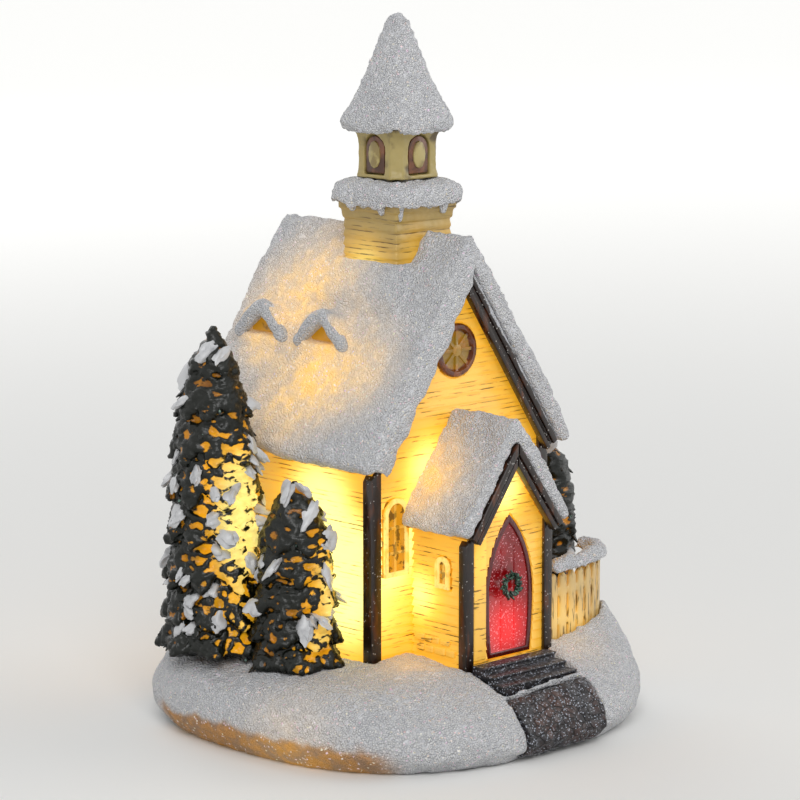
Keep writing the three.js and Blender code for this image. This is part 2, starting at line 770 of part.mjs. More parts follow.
// The church's walls, hollow, open below for the light and above into the roof
function churchWalls() {
  const boards = clapboards(WALL_WIDTH, WALL_LENGTH, 0, GABLE_HEIGHT);
  const outside = solid(boards.translate(0, WALL_LENGTH / 2, 0));
  const belowRoof = solid(prism(roof.under(-BOND, HALF_WALL + 2, -1), "y", -2, WALL_LENGTH + 2));
  const halfRoom = HALF_WALL - WALL_THICKNESS;
  const farWall = WALL_LENGTH - WALL_THICKNESS;
  const room = block([-halfRoom, WALL_THICKNESS, -1], [halfRoom, farWall, GABLE_HEIGHT + 1]);
  const portHalf = LIGHT_PORT.width / 2;
  const portTop = LIGHT_PORT.sill + LIGHT_PORT.height;
  const portFoot = [PORCH_X - portHalf, -1, LIGHT_PORT.sill];
  const port = block(portFoot, [PORCH_X + portHalf, WALL_THICKNESS + 1, portTop]);
  let walls = outside.intersect(belowRoof).subtract(solid(room)).subtract(solid(port));
  walls = walls.subtract(solid(roundWindowNiche()));
  for (const window of CHURCH_WINDOWS) walls = walls.subtract(solid(onWall(window, archedNiche())));
  return walls;
}

function roofBoards() {
  return prism(roof.folded(ROOF_SLOPE, 0, ROOF_BOARD), "y", -VERGE_OVERHANG, WALL_LENGTH + VERGE_OVERHANG);
}

// A bargeboard with a bead along each edge: `face` is how far its face is from y = 0, towards `out`
function bargeboard({ slope, side, end, drop, top, face, out }) {
  const slab = (low, high, proud) => {
    const depths = [out * (face - BARGE_THICKNESS), out * (face + proud)];
    const section = slope.half(side, BOND / 2, end, low, high);
    return solid(prism(section, "y", Math.min(...depths), Math.max(...depths)));
  };
  const upper = slab(top - BARGE_BEAD_WIDTH, top, BARGE_BEAD);
  const lower = slab(-drop, -drop + BARGE_BEAD_WIDTH * 0.8, BARGE_BEAD * 0.7);
  return slab(-drop, top, 0).add(upper).add(lower);
}

function dormerArch(grow) {
  const half = DORMER_WIDTH / 2 + grow;
  const rise = DORMER_HEIGHT + grow;
  const shape = new THREE.Shape();
  shape.moveTo(-half, -grow);
  shape.lineTo(half, -grow);
  shape.bezierCurveTo(half, rise * 0.75, half * 0.5, rise, 0, rise);
  shape.bezierCurveTo(-half * 0.5, rise, -half, rise * 0.75, -half, -grow);
  return shape;
}

const DORMER_FRONT = roof.reach(DORMER_SILL, SNOW_LIFT + ROOF_SNOW) + DORMER_PROUD;
const DORMER_REAR_Y = WALL_LENGTH - DORMER_REAR_MARGIN;
const DORMERS = [
  { name: "left_front_dormer", side: -1, y: DORMER_REAR_Y - DORMER_SPACING },
  { name: "left_rear_dormer", side: -1, y: DORMER_REAR_Y },
  { name: "right_front_dormer", side: 1, y: DORMER_REAR_Y - DORMER_SPACING },
  { name: "right_rear_dormer", side: 1, y: DORMER_REAR_Y },
];

// A dormer's arch run level from the middle of the roof out to `reach`
function dormerRun(dormer, grow, reach) {
  const end = dormer.side * reach;
  const run = prism(dormerArch(grow), "x", Math.min(0, end), Math.max(0, end));
  return solid(run.translate(0, dormer.y, DORMER_SILL));
}

function underSnow() {
  const ends = 3 * VERGE_OVERHANG;
  return solid(prism(roof.under(SNOW_LIFT, 2 * HALF_WALL, -1), "y", -ends, WALL_LENGTH + ends));
}

// The room that the tower takes, with a gap round it
function towerRoom(gap) {
  const half = TOWER_SIDE / 2 + gap;
  return solid(block([-half, TOWER_Y - half, TOWER_FOOT - 5], [half, TOWER_Y + half, TOWER_TOP]));
}

function dormerFace(dormer) {
  const face = dormerRun(dormer, 0, DORMER_FRONT - DORMER_REVEAL).subtract(underSnow());
  return face.subtract(towerRoom(CLAPBOARD_STEP + BOND));
}

// Snow hanging over the left front verge, with a scalloped lower edge
function vergeSnow() {
  const end = ROOF_SLOPE + ROOF_SNOW_NOSE - ROOF_SNOW / 2;
  const middle = SNOW_LIFT + ROOF_SNOW / 2;
  const points = [[0, roof.ridge(middle)], roof.at(end, middle)];
  const samples = 24;
  for (let i = samples; i >= 0; i--) {
    const down = THREE.MathUtils.lerp(VERGE_SCALLOP.length, end, i / samples);
    const scallop = VERGE_SCALLOP.depth * Math.abs(Math.sin((Math.PI * down) / VERGE_SCALLOP.length));
    points.push(roof.at(down, -VERGE_SNOW_DROP - scallop));
  }
  points.push([0, roof.ridge(-VERGE_SNOW_DROP)]);
  const left = points.map(([x, z]) => [-x, z]);
  return solid(prism(outline(left), "y", -BEAD_FACE - BOND - VERGE_SNOW, -BEAD_FACE - BOND));
}

// Snow piled round the tower's foot, as a square skirt
function towerDrift() {
  const { top, spread, depth } = TOWER_DRIFT;
  const half = TOWER_SIDE / 2 + CLAPBOARD_STEP + 2 * BOND;
  const profile = [
    [0, top - 2 * depth],
    [(half + spread) * Math.SQRT2, top - 2 * depth],
    [(half + spread) * Math.SQRT2, top - depth],
    [(half + spread / 3) * Math.SQRT2, top - depth / 3],
    [half * Math.SQRT2, top],
    [0, top],
  ];
  return solid(turned(profile, 4, Math.PI / 4).translate(0, TOWER_Y, 0));
}

// How much of the left eave's snow has broken away, at a place along the roof
function eaveBite(y, side) {
  const along = (y - EAVE_BITE.y) / EAVE_BITE.length;
  return side < 0 ? EAVE_BITE.depth * Math.exp(-(along ** 2)) : 0;
}

function roofSnow() {
  const blanket = {
    lift: SNOW_LIFT,
    thickness: ROOF_SNOW,
    end: ROOF_SLOPE + ROOF_SNOW_NOSE,
    from: -BEAD_FACE - BOND - VERGE_SNOW,
    to: WALL_LENGTH + BEAD_FACE + BOND,
    steps: 10,
    bite: eaveBite,
  };
  const inside = underSnow();
  let snow = solid(snowBlanket(roof, blanket)).add(towerDrift().subtract(inside));
  for (const dormer of DORMERS) {
    const hood = dormerRun(dormer, DORMER_HOOD, DORMER_FRONT).subtract(inside);
    snow = snow.add(hood).subtract(dormerRun(dormer, BOND, 2 * DORMER_FRONT));
  }
  return snow.add(vergeSnow()).subtract(towerRoom(CLAPBOARD_STEP + BOND));
}

// Two boards round a wall's corner at `x` and `y`: the signs outX and outY point away from the building
function cornerBoard({ x, y, outX, outY, leg, slope }) {
  const points = [
    [x + outX * CORNER_OUT, y + outY * CORNER_OUT],
    [x + outX * CORNER_OUT, y - outY * leg],
    [x + outX * BOND, y - outY * leg],
    [x + outX * BOND, y + outY * BOND],
    [x - outX * leg, y + outY * BOND],
    [x - outX * leg, y + outY * CORNER_OUT],
  ];
  const board = solid(prism(outline(points), "z", 0, slope.peak));
  const reach = Math.abs(x) + CORNER_OUT + 1;
  return board.intersect(solid(prism(slope.under(-2 * BOND, reach, -1), "y", y - 9, y + 9)));
}

// Turns a front-facing piece to a wall of the church and puts it in its place
function onWall({ wall, along }, geometry) {
  if (wall === "front") return geometry.translate(along, 0, ARCHED_WINDOW_SILL);
  return geometry.rotateZ(Math.PI / 2).translate(HALF_WALL, along, ARCHED_WINDOW_SILL);
}

// A shape standing in the wall's face, as a solid of a round arch, from one depth to another
function archSlab(width, height, grow, from, to) {
  return prism(roundArch(width + 2 * grow, height + grow, -grow), "y", from, to);
}

function archedNiche() {
  return archSlab(ARCHED_WINDOW_WIDTH, ARCHED_WINDOW_HEIGHT, BOND, -1, WINDOW_RECESS);
}

// An arched window: a frame with a sill, sash bars and a thin pane behind them
function archedWindow(width, height, crossbars) {
  const back = WINDOW_RECESS - BOND;
  const open = archSlab(width, height, -WINDOW_FRAME, -WINDOW_PROUD - 1, back - WINDOW_PANE);
  let body = solid(archSlab(width, height, 0, -WINDOW_PROUD, back)).subtract(solid(open));
  const inside = solid(archSlab(width, height, -WINDOW_FRAME / 2, -WINDOW_PROUD, back));
  const half = WINDOW_BAR / 2;
  const bars = [block([-half, 0, 0], [half, back, height])];
  for (const share of crossbars) {
    const z = share * height;
    bars.push(block([-width, 0, z - half], [width, back, z + half]));
  }
  for (const bar of bars) body = body.add(solid(bar).intersect(inside));
  return body;
}

function roundWindowNiche() {
  const radius = ROUND_WINDOW.diameter / 2 + BOND;
  const hole = disc(radius, -WINDOW_RECESS, 1, 24).rotateX(Math.PI / 2);
  return hole.translate(ROUND_WINDOW.x, 0, ROUND_WINDOW.height);
}

// The round window: a moulded ring, eight spokes and a hub over a thin pane
function roundWindow() {
  const outer = ROUND_WINDOW.diameter / 2;
  const inner = outer - ROUND_WINDOW.rim;
  const back = WINDOW_RECESS - BOND;
  const profile = [
    [0, -back],
    [outer, -back],
    [outer, WINDOW_PROUD * 0.4],
    [outer - 0.3, WINDOW_PROUD],
    [inner + 0.3, WINDOW_PROUD],
    [inner, WINDOW_PANE - back],
    [0, WINDOW_PANE - back],
  ];
  let body = solid(turned(profile, 24)).add(solid(disc(ROUND_WINDOW.hub, -back, WINDOW_PROUD * 0.5, 12)));
  const half = WINDOW_BAR / 2;
  for (let i = 0; i < ROUND_WINDOW.spokes; i++) {
    const spoke = block([0, -half, -back], [inner + 0.3, half, WINDOW_PROUD * 0.3]);
    body = body.add(solid(spoke.rotateZ((2 * Math.PI * i) / ROUND_WINDOW.spokes)));
  }
  return geometryOf(body).rotateX(Math.PI / 2).translate(ROUND_WINDOW.x, 0, ROUND_WINDOW.height);
}

const PORCH_BACK = -BOND - WINDOW_PROUD; // the porch's roof stops short of the church's windows
const HALF_PORCH = PORCH_WIDTH / 2;
const PORCH_WINDOW_Y = -PORCH_LENGTH + PORCH_WINDOW_BACK;

// The porch's walls: three sides of clapboard, open at the back to the church's light
function porchWalls() {
  const outside = clapboards(PORCH_WIDTH, PORCH_LENGTH - BOND, 0, PORCH_GABLE);
  const shell = solid(outside.translate(0, -(PORCH_LENGTH + BOND) / 2, 0));
  const belowRoof = solid(prism(porchRoof.under(-BOND, HALF_PORCH + 2, -1), "y", -PORCH_LENGTH - 2, 2));
  const halfRoom = HALF_PORCH - PORCH_WALL;
  const room = block([-halfRoom, -PORCH_LENGTH + PORCH_WALL, -1], [halfRoom, 1, PORCH_GABLE + 1]);
  const doorway = prism(pointedArch(BOND), "y", -PORCH_LENGTH - 1, -PORCH_LENGTH + PORCH_WALL + 1);
  let walls = shell.intersect(belowRoof).subtract(solid(room));
  walls = walls.subtract(solid(doorway.translate(DOOR_X, 0, DOOR_SILL)));
  for (const side of [-1, 1]) {
    const niche = archSlab(PORCH_WINDOW_WIDTH, PORCH_WINDOW_HEIGHT, BOND, -1, WINDOW_RECESS);
    walls = walls.subtract(solid(onPorchSide(niche, side)));
  }
  return walls;
}

function onPorchSide(geometry, side) {
  const turnedOut = geometry.rotateZ((side * Math.PI) / 2);
  return turnedOut.translate(side * HALF_PORCH, PORCH_WINDOW_Y, PORCH_WINDOW_SILL);
}

function porchRoofBoards() {
  const section = porchRoof.folded(PORCH_SLOPE, 0, PORCH_BOARD);
  return prism(section, "y", -PORCH_LENGTH - PORCH_OVERHANG, PORCH_BACK);
}

const PORCH_BARGE_FACE = PORCH_LENGTH + PORCH_OVERHANG + BOND + BARGE_THICKNESS;

function porchSnow() {
  return snowBlanket(porchRoof, {
    lift: PORCH_BOARD + BOND,
    thickness: PORCH_SNOW,
    end: PORCH_SLOPE + PORCH_SNOW_NOSE,
    from: -PORCH_BARGE_FACE - BARGE_BEAD,
    to: PORCH_BACK,
    steps: 7,
    bite: () => 0,
  });
}

// The door: planks with two grooves, inside a raised rim
function churchDoor() {
  const front = -PORCH_LENGTH + DOOR_RECESS;
  const back = front + DOOR_THICKNESS;
  const rim = solid(prism(pointedArch(0), "y", front - DOOR_RIM_PROUD, back));
  let body = rim.subtract(solid(prism(pointedArch(-DOOR_RIM), "y", front - 2, front)));
  const planks = 3;
  const pitch = (DOOR_WIDTH - 2 * DOOR_RIM) / planks;
  for (let i = 1; i < planks; i++) {
    const x = -DOOR_WIDTH / 2 + DOOR_RIM + i * pitch;
    const seam = block([x - 0.15, front - 1, 1.2], [x + 0.15, front + 0.25, DOOR_HEIGHT - 6]);
    body = body.subtract(solid(seam));
  }
  return geometryOf(body).translate(DOOR_X, 0, DOOR_SILL);
}

// The wreath: a ring of leaves, each bulge a leaf
function doorWreath() {
  const ring = [];
  const sides = 6;
  for (let i = 0; i <= sides; i++) {
    const angle = (2 * Math.PI * i) / sides - Math.PI / 2;
    ring.push([WREATH.radius + WREATH.tube * Math.cos(angle), WREATH.tube * Math.sin(angle)]);
  }
  const leaves = 8;
  const body = bent(turned(ring, 16), (point) => {
    const angle = Math.atan2(point.y, point.x);
    point.multiplyScalar(1 + 0.09 * Math.cos(leaves * angle));
  });
  const front = PORCH_LENGTH - DOOR_RECESS + WREATH.tube * 1.1 + BOND;
  return body.rotateX(Math.PI / 2).translate(DOOR_X, -front, DOOR_SILL + WREATH.height);
}

function tower() {
  const body = clapboards(TOWER_SIDE, TOWER_SIDE, TOWER_FOOT, TOWER_TOP, TOWER_FLARE);
  return solid(body.translate(0, TOWER_Y, 0)).subtract(underSnow());
}

// Snow lying on the tower's ledge and dripping over it
function ledgeSnow() {
  const half = LEDGE_SIDE / 2;
  const profile = [
    [0, -LEDGE_DRIP],
    [half - 0.25, -LEDGE_DRIP],
    [half, -LEDGE_DRIP * 0.4],
    [half + 0.1, LEDGE_HEIGHT * 0.35],
    [half - 0.5, LEDGE_HEIGHT * 0.75],
    [half - 2, LEDGE_HEIGHT],
    [0, LEDGE_HEIGHT],
  ];
  const body = bent(turned(profile, 32), (point) => {
    const angle = Math.atan2(point.y, point.x);
    const drip = 0.5 + 0.5 * ripple(angle * 6, 2, 4.2);
    const reach = Math.hypot(point.x, point.y);
    if (point.z < 0) point.z *= 0.35 + 0.65 * drip;
    if (reach > 1) squared(point, 10);
  });
  const grip = TOWER_SIDE / 2 + TOWER_FLARE + BOND;
  return solid(body).subtract(solid(block([-grip, -grip, -9], [grip, grip, 0])));
}

// The belfry: a square lantern with chamfered corners, flared at its head, and four niches
function belfry() {
  const half = BELFRY_SIDE / 2;
  const cut = half - BELFRY_CHAMFER;
  const plan = outline([
    [half, -cut],
    [half, cut],
    [cut, half],
    [-cut, half],
    [-half, cut],
    [-half, -cut],
    [-cut, -half],
    [cut, -half],
  ]);
  const lantern = bent(prism(plan, "z", 0, BELFRY_HEIGHT, 6), (point) => {
    const head = THREE.MathUtils.smoothstep(point.z, BELFRY_HEIGHT * 0.75, BELFRY_HEIGHT);
    const foot = 1 - THREE.MathUtils.smoothstep(point.z, 0, BELFRY_HEIGHT * 0.2);
    const grow = 1 + (BELFRY_FLARE * (head + 0.4 * foot)) / half;
    point.x *= grow;
    point.y *= grow;
  });
  const { width, height, sill, niche } = BELFRY_WINDOW;
  let body = solid(lantern);
  for (let i = 0; i < 4; i++) {
    const hole = archSlab(width, height, BOND, -half - 2, -half + niche).translate(0, 0, sill);
    body = body.subtract(solid(hole.rotateZ((i * Math.PI) / 2)));
  }
  return body;
}

// A belfry window: an arched board with an oval pane standing out of it
function belfryWindow(quarter) {
  const { width, height, sill, niche, oval } = BELFRY_WINDOW;
  const back = -BELFRY_SIDE / 2 + niche - BOND;
  const board = solid(archSlab(width, height, 0, back - 0.5, back).translate(0, 0, sill));
  const pane = new THREE.Shape();
  pane.absellipse(0, sill + height * 0.5, (width / 2) * oval, (height / 2) * 0.74, 0, 2 * Math.PI);
  const body = board.add(solid(prism(pane, "y", back - 0.85, back)));
  return geometryOf(body).rotateZ((quarter * Math.PI) / 2);
}

function spire(grow) {
  const half = SPIRE_SIDE / 2 + grow;
  const profile = [
    [0, -grow],
    [half * Math.SQRT2, -grow],
    [half * Math.SQRT2, 0.6],
    [0, SPIRE_HEIGHT + 2 * grow],
  ];
  return turned(profile, 4, Math.PI / 4);
}

// The steeple's cap of snow: a four-sided cone with soft arrises and a lumpy lower edge
function snowCap() {
  const half = CAP_SIDE / 2;
  const side = new THREE.SplineCurve([
    new THREE.Vector2(half - 0.9, -CAP_LIP),
    new THREE.Vector2(half, 0.3),
    new THREE.Vector2(half * 0.92, 2.4),
    new THREE.Vector2(half * 0.68, CAP_HEIGHT * 0.34),
    new THREE.Vector2(half * 0.4, CAP_HEIGHT * 0.7),
    new THREE.Vector2(half * 0.21, CAP_HEIGHT * 0.94),
    new THREE.Vector2(0, CAP_HEIGHT),
  ]);
  const profile = [[0, -CAP_LIP], ...side.getPoints(11).map((p) => [Math.max(p.x, 0), p.y])];
  const body = bent(turned(profile, 28), (point) => {
    const share = THREE.MathUtils.clamp(point.z / CAP_HEIGHT, 0, 1);
    const angle = Math.atan2(point.y, point.x);
    squared(point, THREE.MathUtils.lerp(5, 2.2, share));
    const lump = 1 + 0.035 * ripple(angle * 5, point.z, 6) * (1 - share);
    point.x *= lump;
    point.y *= lump;
  });
  const grip = SPIRE_SIDE / 2 + BOND;
  const below = block([-grip, -grip, -9], [grip, grip, 0.6]);
  return solid(body).subtract(solid(spire(BOND))).subtract(solid(below));
}

// Heights in the light module, upwards from its underside
const CELL_FOOT = MODULE_FLOOR + BOND;
const CONTACT_FOOT = CELL_FOOT + CELL_HEIGHT + BOND;
const BOARD_FOOT = CONTACT_FOOT + CONTACT_THICKNESS + BOND;
const BOARD_TOP = BOARD_FOOT + BOARD_THICKNESS;
const LID_FOOT = BOARD_TOP + BOND;
const MODULE_HEIGHT = LID_FOOT + MODULE_LID;
const HINGE_Z = MODULE_FLOOR / 2;
const HINGE_Y = CELL_Y + CELL_RADIUS + RUNNING;
const DOOR_HALF = CELL_RADIUS + RUNNING;
const SWITCH_FOOT = MODULE_FLOOR + 2 * BOND + SLIDER_FLANGE;
const SWITCH_ROOF = BOARD_FOOT - BOND - SWITCH_SIZE.wall;
const MODULE_SEGMENTS = 36;

// The battery door's plan: round at its free end, straight at its hinge
function doorPlan(grow, hingeEnd) {
  const shape = new THREE.Shape();
  const radius = DOOR_HALF + grow;
  shape.moveTo(radius, CELL_Y);
  shape.lineTo(radius, hingeEnd);
  shape.lineTo(-radius, hingeEnd);
  shape.lineTo(-radius, CELL_Y);
  shape.absarc(0, CELL_Y, radius, Math.PI, 2 * Math.PI);
  return shape;
}

// A round bar along the battery door's hinge
function hingeBar(radius, half) {
  return solid(disc(radius, -half, half, 12).rotateY(Math.PI / 2).translate(0, HINGE_Y, HINGE_Z));
}

function batteryDoor() {
  const plate = solid(prism(doorPlan(0, HINGE_Y), "z", 0, MODULE_FLOOR));
  const knuckle = hingeBar(HINGE_Z, DOOR_HALF);
  const pins = hingeBar(DOOR_PIN_RADIUS, DOOR_HALF + DOOR_PIN_LENGTH);
  return plate.add(knuckle).add(pins);
}

// A disc beside the module's middle, where a screw goes
function screwDisc(side, radius, bottom, top) {
  return solid(disc(radius, bottom, top, 12).translate(side * SCREW_X, 0, 0));
}

// The module's floor: a wall round the cell's opening, sockets for the hinge's pins and the switch's slot
function moduleFloor() {
  const openingEnd = HINGE_Y + HINGE_Z + RUNNING;
  const wallTop = MODULE_FLOOR + CELL_WALL_HEIGHT;
  const wall = solid(prism(doorPlan(RUNNING + CELL_WALL, openingEnd + CELL_WALL), "z", 1, wallTop));
  const opening = solid(prism(doorPlan(RUNNING, openingEnd), "z", -1, wallTop + 1));
  const plate = solid(disc(MODULE_RADIUS - BOND, 0, MODULE_FLOOR, MODULE_SEGMENTS));
  let floor = plate.add(wall).subtract(opening);
  const pinHalf = DOOR_HALF + DOOR_PIN_LENGTH + RUNNING;
  const pinRoom = DOOR_PIN_RADIUS + BOND;
  const mouth = block([-pinHalf, HINGE_Y - pinRoom, HINGE_Z], [pinHalf, HINGE_Y + pinRoom, wallTop + 1]);
  const slotX = (SLIDER_LENGTH + SLIDER_TRAVEL) / 2 + RUNNING;
  const slotY = SLIDER_WIDTH / 2 + RUNNING;
  const slot = block([-slotX, SLIDER_Y - slotY, -1], [slotX, SLIDER_Y + slotY, MODULE_FLOOR + 1]);
  const notch = disc(FINGER_NOTCH.radius, -1, FINGER_NOTCH.depth, 16);
  notch.translate(0, CELL_Y - DOOR_HALF - RUNNING, 0);
  floor = floor.subtract(hingeBar(pinRoom, pinHalf)).subtract(solid(mouth));
  floor = floor.subtract(solid(slot)).subtract(solid(notch));
  for (const { x } of SIDES) {
    const shank = screwDisc(x, SCREW_RADIUS + BOND, -1, MODULE_FLOOR + 1);
    const head = screwDisc(x, SCREW_HEAD_RADIUS + BOND, -1, SCREW_HEAD_HEIGHT + BOND);
    floor = floor.subtract(shank).subtract(head);
  }
  return floor;
}

// The module's housing: a round cup over the floor, with screw bosses and a hole for the lamp
function moduleHousing() {
  const foot = MODULE_FLOOR + BOND;
  const cup = solid(disc(MODULE_RADIUS, foot, MODULE_HEIGHT, MODULE_SEGMENTS));
  let body = cup.subtract(solid(disc(MODULE_RADIUS - MODULE_WALL, 0, LID_FOOT, MODULE_SEGMENTS)));
  for (const { x } of SIDES) {
    const bore = screwDisc(x, SCREW_RADIUS + BOND, 0, SCREW_LENGTH + 2 * BOND);
    body = body.add(screwDisc(x, BOSS_RADIUS, foot, MODULE_HEIGHT - 0.2)).subtract(bore);
  }
  return body.subtract(solid(disc(LED_FLANGE + BOND, 0, MODULE_HEIGHT + 1, 20)));
}

function circuitBoard() {
  let board = solid(disc(MODULE_RADIUS - MODULE_WALL - BOND, BOARD_FOOT, BOARD_TOP, MODULE_SEGMENTS));
  const half = LED_LEG / 2 + BOND;
  for (const side of SIDES) {
    const x = (side.x * LED_LEG_PITCH) / 2;
    const legHole = block([x - half, -half, 0], [x + half, half, MODULE_HEIGHT]);
    const bossHole = screwDisc(side.x, BOSS_RADIUS + BOND, 0, MODULE_HEIGHT);
    board = board.subtract(bossHole).subtract(solid(legHole));
  }
  return board;
}

function ledLamp() {
  const profile = [
    [0, 0],
    [LED_FLANGE, 0],
    [LED_FLANGE, LED_FLANGE_HEIGHT],
    [LED_RADIUS, LED_FLANGE_HEIGHT],
  ];
  for (let i = 0; i < 4; i++) {
    const angle = (Math.PI / 8) * i;
    profile.push([LED_RADIUS * Math.cos(angle), LED_HEIGHT - LED_RADIUS * (1 - Math.sin(angle))]);
  }
  profile.push([0, LED_HEIGHT]);
  const foot = BOARD_TOP + BOND;
  let lamp = solid(turned(profile, 20).translate(0, 0, foot));
  const half = LED_LEG / 2;
  for (const side of SIDES) {
    const x = (side.x * LED_LEG_PITCH) / 2;
    const legTop = foot + LED_FLANGE_HEIGHT / 2;
    const leg = block([x - half, -half, foot - LED_LEG_LENGTH], [x + half, half, legTop]);
    lamp = lamp.add(solid(leg));
  }
  return lamp;
}

// The switch under the board: a metal can with a slot for the slider's post
function switchBody() {
  const halfX = SWITCH_SIZE.length / 2;
  const halfY = SWITCH_SIZE.width / 2;
  const can = block([-halfX, SLIDER_Y - halfY, SWITCH_FOOT], [halfX, SLIDER_Y + halfY, BOARD_FOOT - BOND]);
  const slotX = (SLIDER_POST + SLIDER_TRAVEL) / 2 + RUNNING;
  const slotY = SLIDER_POST / 2 + RUNNING;
  const slot = block([-slotX, SLIDER_Y - slotY, SWITCH_FOOT - 1], [slotX, SLIDER_Y + slotY, SWITCH_ROOF]);
  return solid(can).subtract(solid(slot));
}

// The slider at rest, at its ON end
function switchKnob() {
  const foot = MODULE_FLOOR + BOND;
  const top = foot + SLIDER_FLANGE;
  const halfX = SLIDER_LENGTH / 2;
  const halfY = SLIDER_WIDTH / 2;
  const half = SLIDER_POST / 2;
  const grip = 0.25;
  const button = block([-halfX, -halfY, -SLIDER_PROUD], [halfX, halfY, top]);
  const flange = block([-halfX - 1, -halfY - 0.9, foot], [halfX + 1, halfY + 0.9, top]);
  const post = block([-half, -half, foot], [half, half, SWITCH_ROOF - RUNNING]);
  let knob = solid(button).add(solid(flange)).add(solid(post));
  for (const x of SLIDER_RIBS) {
    const low = [x - grip, -halfY - 1, -SLIDER_PROUD - 1];
    const high = [x + grip, halfY + 1, -SLIDER_PROUD + grip];
    knob = knob.subtract(solid(block(low, high)));
  }
  return geometryOf(knob).translate(-SLIDER_TRAVEL / 2, SLIDER_Y, 0);
}

function coinCell() {
  const profile = [
    [0, 0],
    [CELL_RADIUS * 0.86, 0],
    [CELL_RADIUS * 0.88, 0.35],
    [CELL_RADIUS, 0.5],
    [CELL_RADIUS, CELL_HEIGHT],
    [0, CELL_HEIGHT],
  ];
  return turned(profile, 32).translate(0, CELL_Y, CELL_FOOT);
}

// The strip over the cell and the strip up its edge
function topContact() {
  const half = CONTACT_WIDTH / 2;
  const foot = CONTACT_FOOT;
  const top = foot + CONTACT_THICKNESS;
  return block([-CONTACT_LENGTH / 2, CELL_Y - half, foot], [CONTACT_LENGTH / 2, CELL_Y + half, top]);
}

function sideContact() {
  const face = CELL_Y + CELL_RADIUS + BOND;
  const half = CONTACT_WIDTH / 2;
  return block([-half, face, CELL_FOOT + 0.5], [half, face + CONTACT_THICKNESS, BOARD_FOOT - BOND]);
}

function moduleScrew(side) {
  const profile = [
    [0, 0],
    [SCREW_HEAD_RADIUS, 0],
    [SCREW_HEAD_RADIUS, SCREW_HEAD_HEIGHT],
    [SCREW_RADIUS, SCREW_HEAD_HEIGHT],
    [SCREW_RADIUS, SCREW_LENGTH - 0.6],
    [0, SCREW_LENGTH],
  ];
  return turned(profile, 12).translate(side * SCREW_X, 0, 0);
}

// The base, cut for everything that stands in it and for the light
function snowBase() {
  const socket = CORNER_OUT + BOND;
  const churchLow = [-HALF_WALL - socket, -socket, -BOND];
  const churchHigh = [HALF_WALL + socket, WALL_LENGTH + socket, SOCKET_DEPTH + 9];
  const porchLow = [PORCH_X - HALF_PORCH - socket, -PORCH_LENGTH - socket, -BOND];
  const porchHigh = [PORCH_X + HALF_PORCH + socket, 0, SOCKET_DEPTH + 9];
  const churchCut = block(churchLow, churchHigh).translate(CHURCH_X, CHURCH_Y, CHURCH_FOOT);
  const porchCut = block(porchLow, porchHigh).translate(CHURCH_X, CHURCH_Y, CHURCH_FOOT);
  const pocketTop = MODULE_RECESS + MODULE_HEIGHT + BOND;
  const pocket = disc(MODULE_RADIUS + BOND, -1, pocketTop, 48).translate(CHURCH_X, MODULE_Y, 0);
  const shaft = disc(SHAFT_RADIUS, 1, SNOW_LEVEL, 32).translate(CHURCH_X, MODULE_Y, 0);
  let base = mound();
  for (const cut of [churchCut, porchCut, pocket, shaft, pathSocket(), stepSocket(), fenceSocket()]) {
    base = base.subtract(solid(cut));
  }
  for (const tree of [TALL_TREE, SMALL_TREE, RIGHT_TREE]) base = base.subtract(conifer(tree, BOND));
  return base;
}

function baseGroup() {
  const group = new THREE.Group();
  const smallTree = conifer(SMALL_TREE).subtract(conifer(TALL_TREE, BOND));
  group.add(part("snow_base", snowBase(), paint.snow));
  group.add(part("stone_path", stonePath(), paint.stone));
  group.add(part("door_steps", doorSteps(), paint.stone));
  group.add(part("garden_fence", fence(), paint.fence));
  group.add(part("fence_snow", fenceSnow(), paint.snow));
  group.add(part("tall_tree", conifer(TALL_TREE), paint.foliage));
  group.add(part("small_tree", smallTree, paint.foliage));
  group.add(part("right_tree", conifer(RIGHT_TREE), paint.foliage));
  return group;
}

function churchGroup() {
  const group = new THREE.Group();
  group.position.set(CHURCH_X, CHURCH_Y, CHURCH_FOOT);
  group.add(part("church_walls", churchWalls(), paint.wall));
  group.add(part("roof_boards", roofBoards(), paint.timber));
  group.add(part("roof_snow", roofSnow(), paint.snow));
  for (const dormer of DORMERS) group.add(part(dormer.name, dormerFace(dormer), paint.pane));
  group.add(part("round_window", roundWindow(), paint.window));
  for (const window of CHURCH_WINDOWS) {
    const body = archedWindow(ARCHED_WINDOW_WIDTH, ARCHED_WINDOW_HEIGHT, CROSSBARS);
    group.add(part(window.name, onWall(window, geometryOf(body)), paint.window));
  }
  const ends = [
    { place: "front", y: 0, out: -1, face: BARGE_FACE },
    { place: "rear", y: WALL_LENGTH, out: 1, face: WALL_LENGTH + BARGE_FACE },
  ];
  for (const { across, x } of SIDES) {
    for (const { place, y, out, face } of ends) {
      const drop = place === "front" && x < 0 ? SNOWY_BARGE_DROP : BARGE_DROP;
      const eave = { slope: roof, end: ROOF_SLOPE, drop, top: ROOF_BOARD };
      const barge = bargeboard({ ...eave, side: x, face, out });
      const corner = { x: x * HALF_WALL, y, outX: x, outY: out };
      const board = cornerBoard({ ...corner, leg: CORNER_LEG, slope: roof });
      group.add(part(`${place}_${across}_bargeboard`, barge, paint.timber));
      group.add(part(`${place}_${across}_corner_board`, board, paint.timber));
    }
  }
  return group;
}

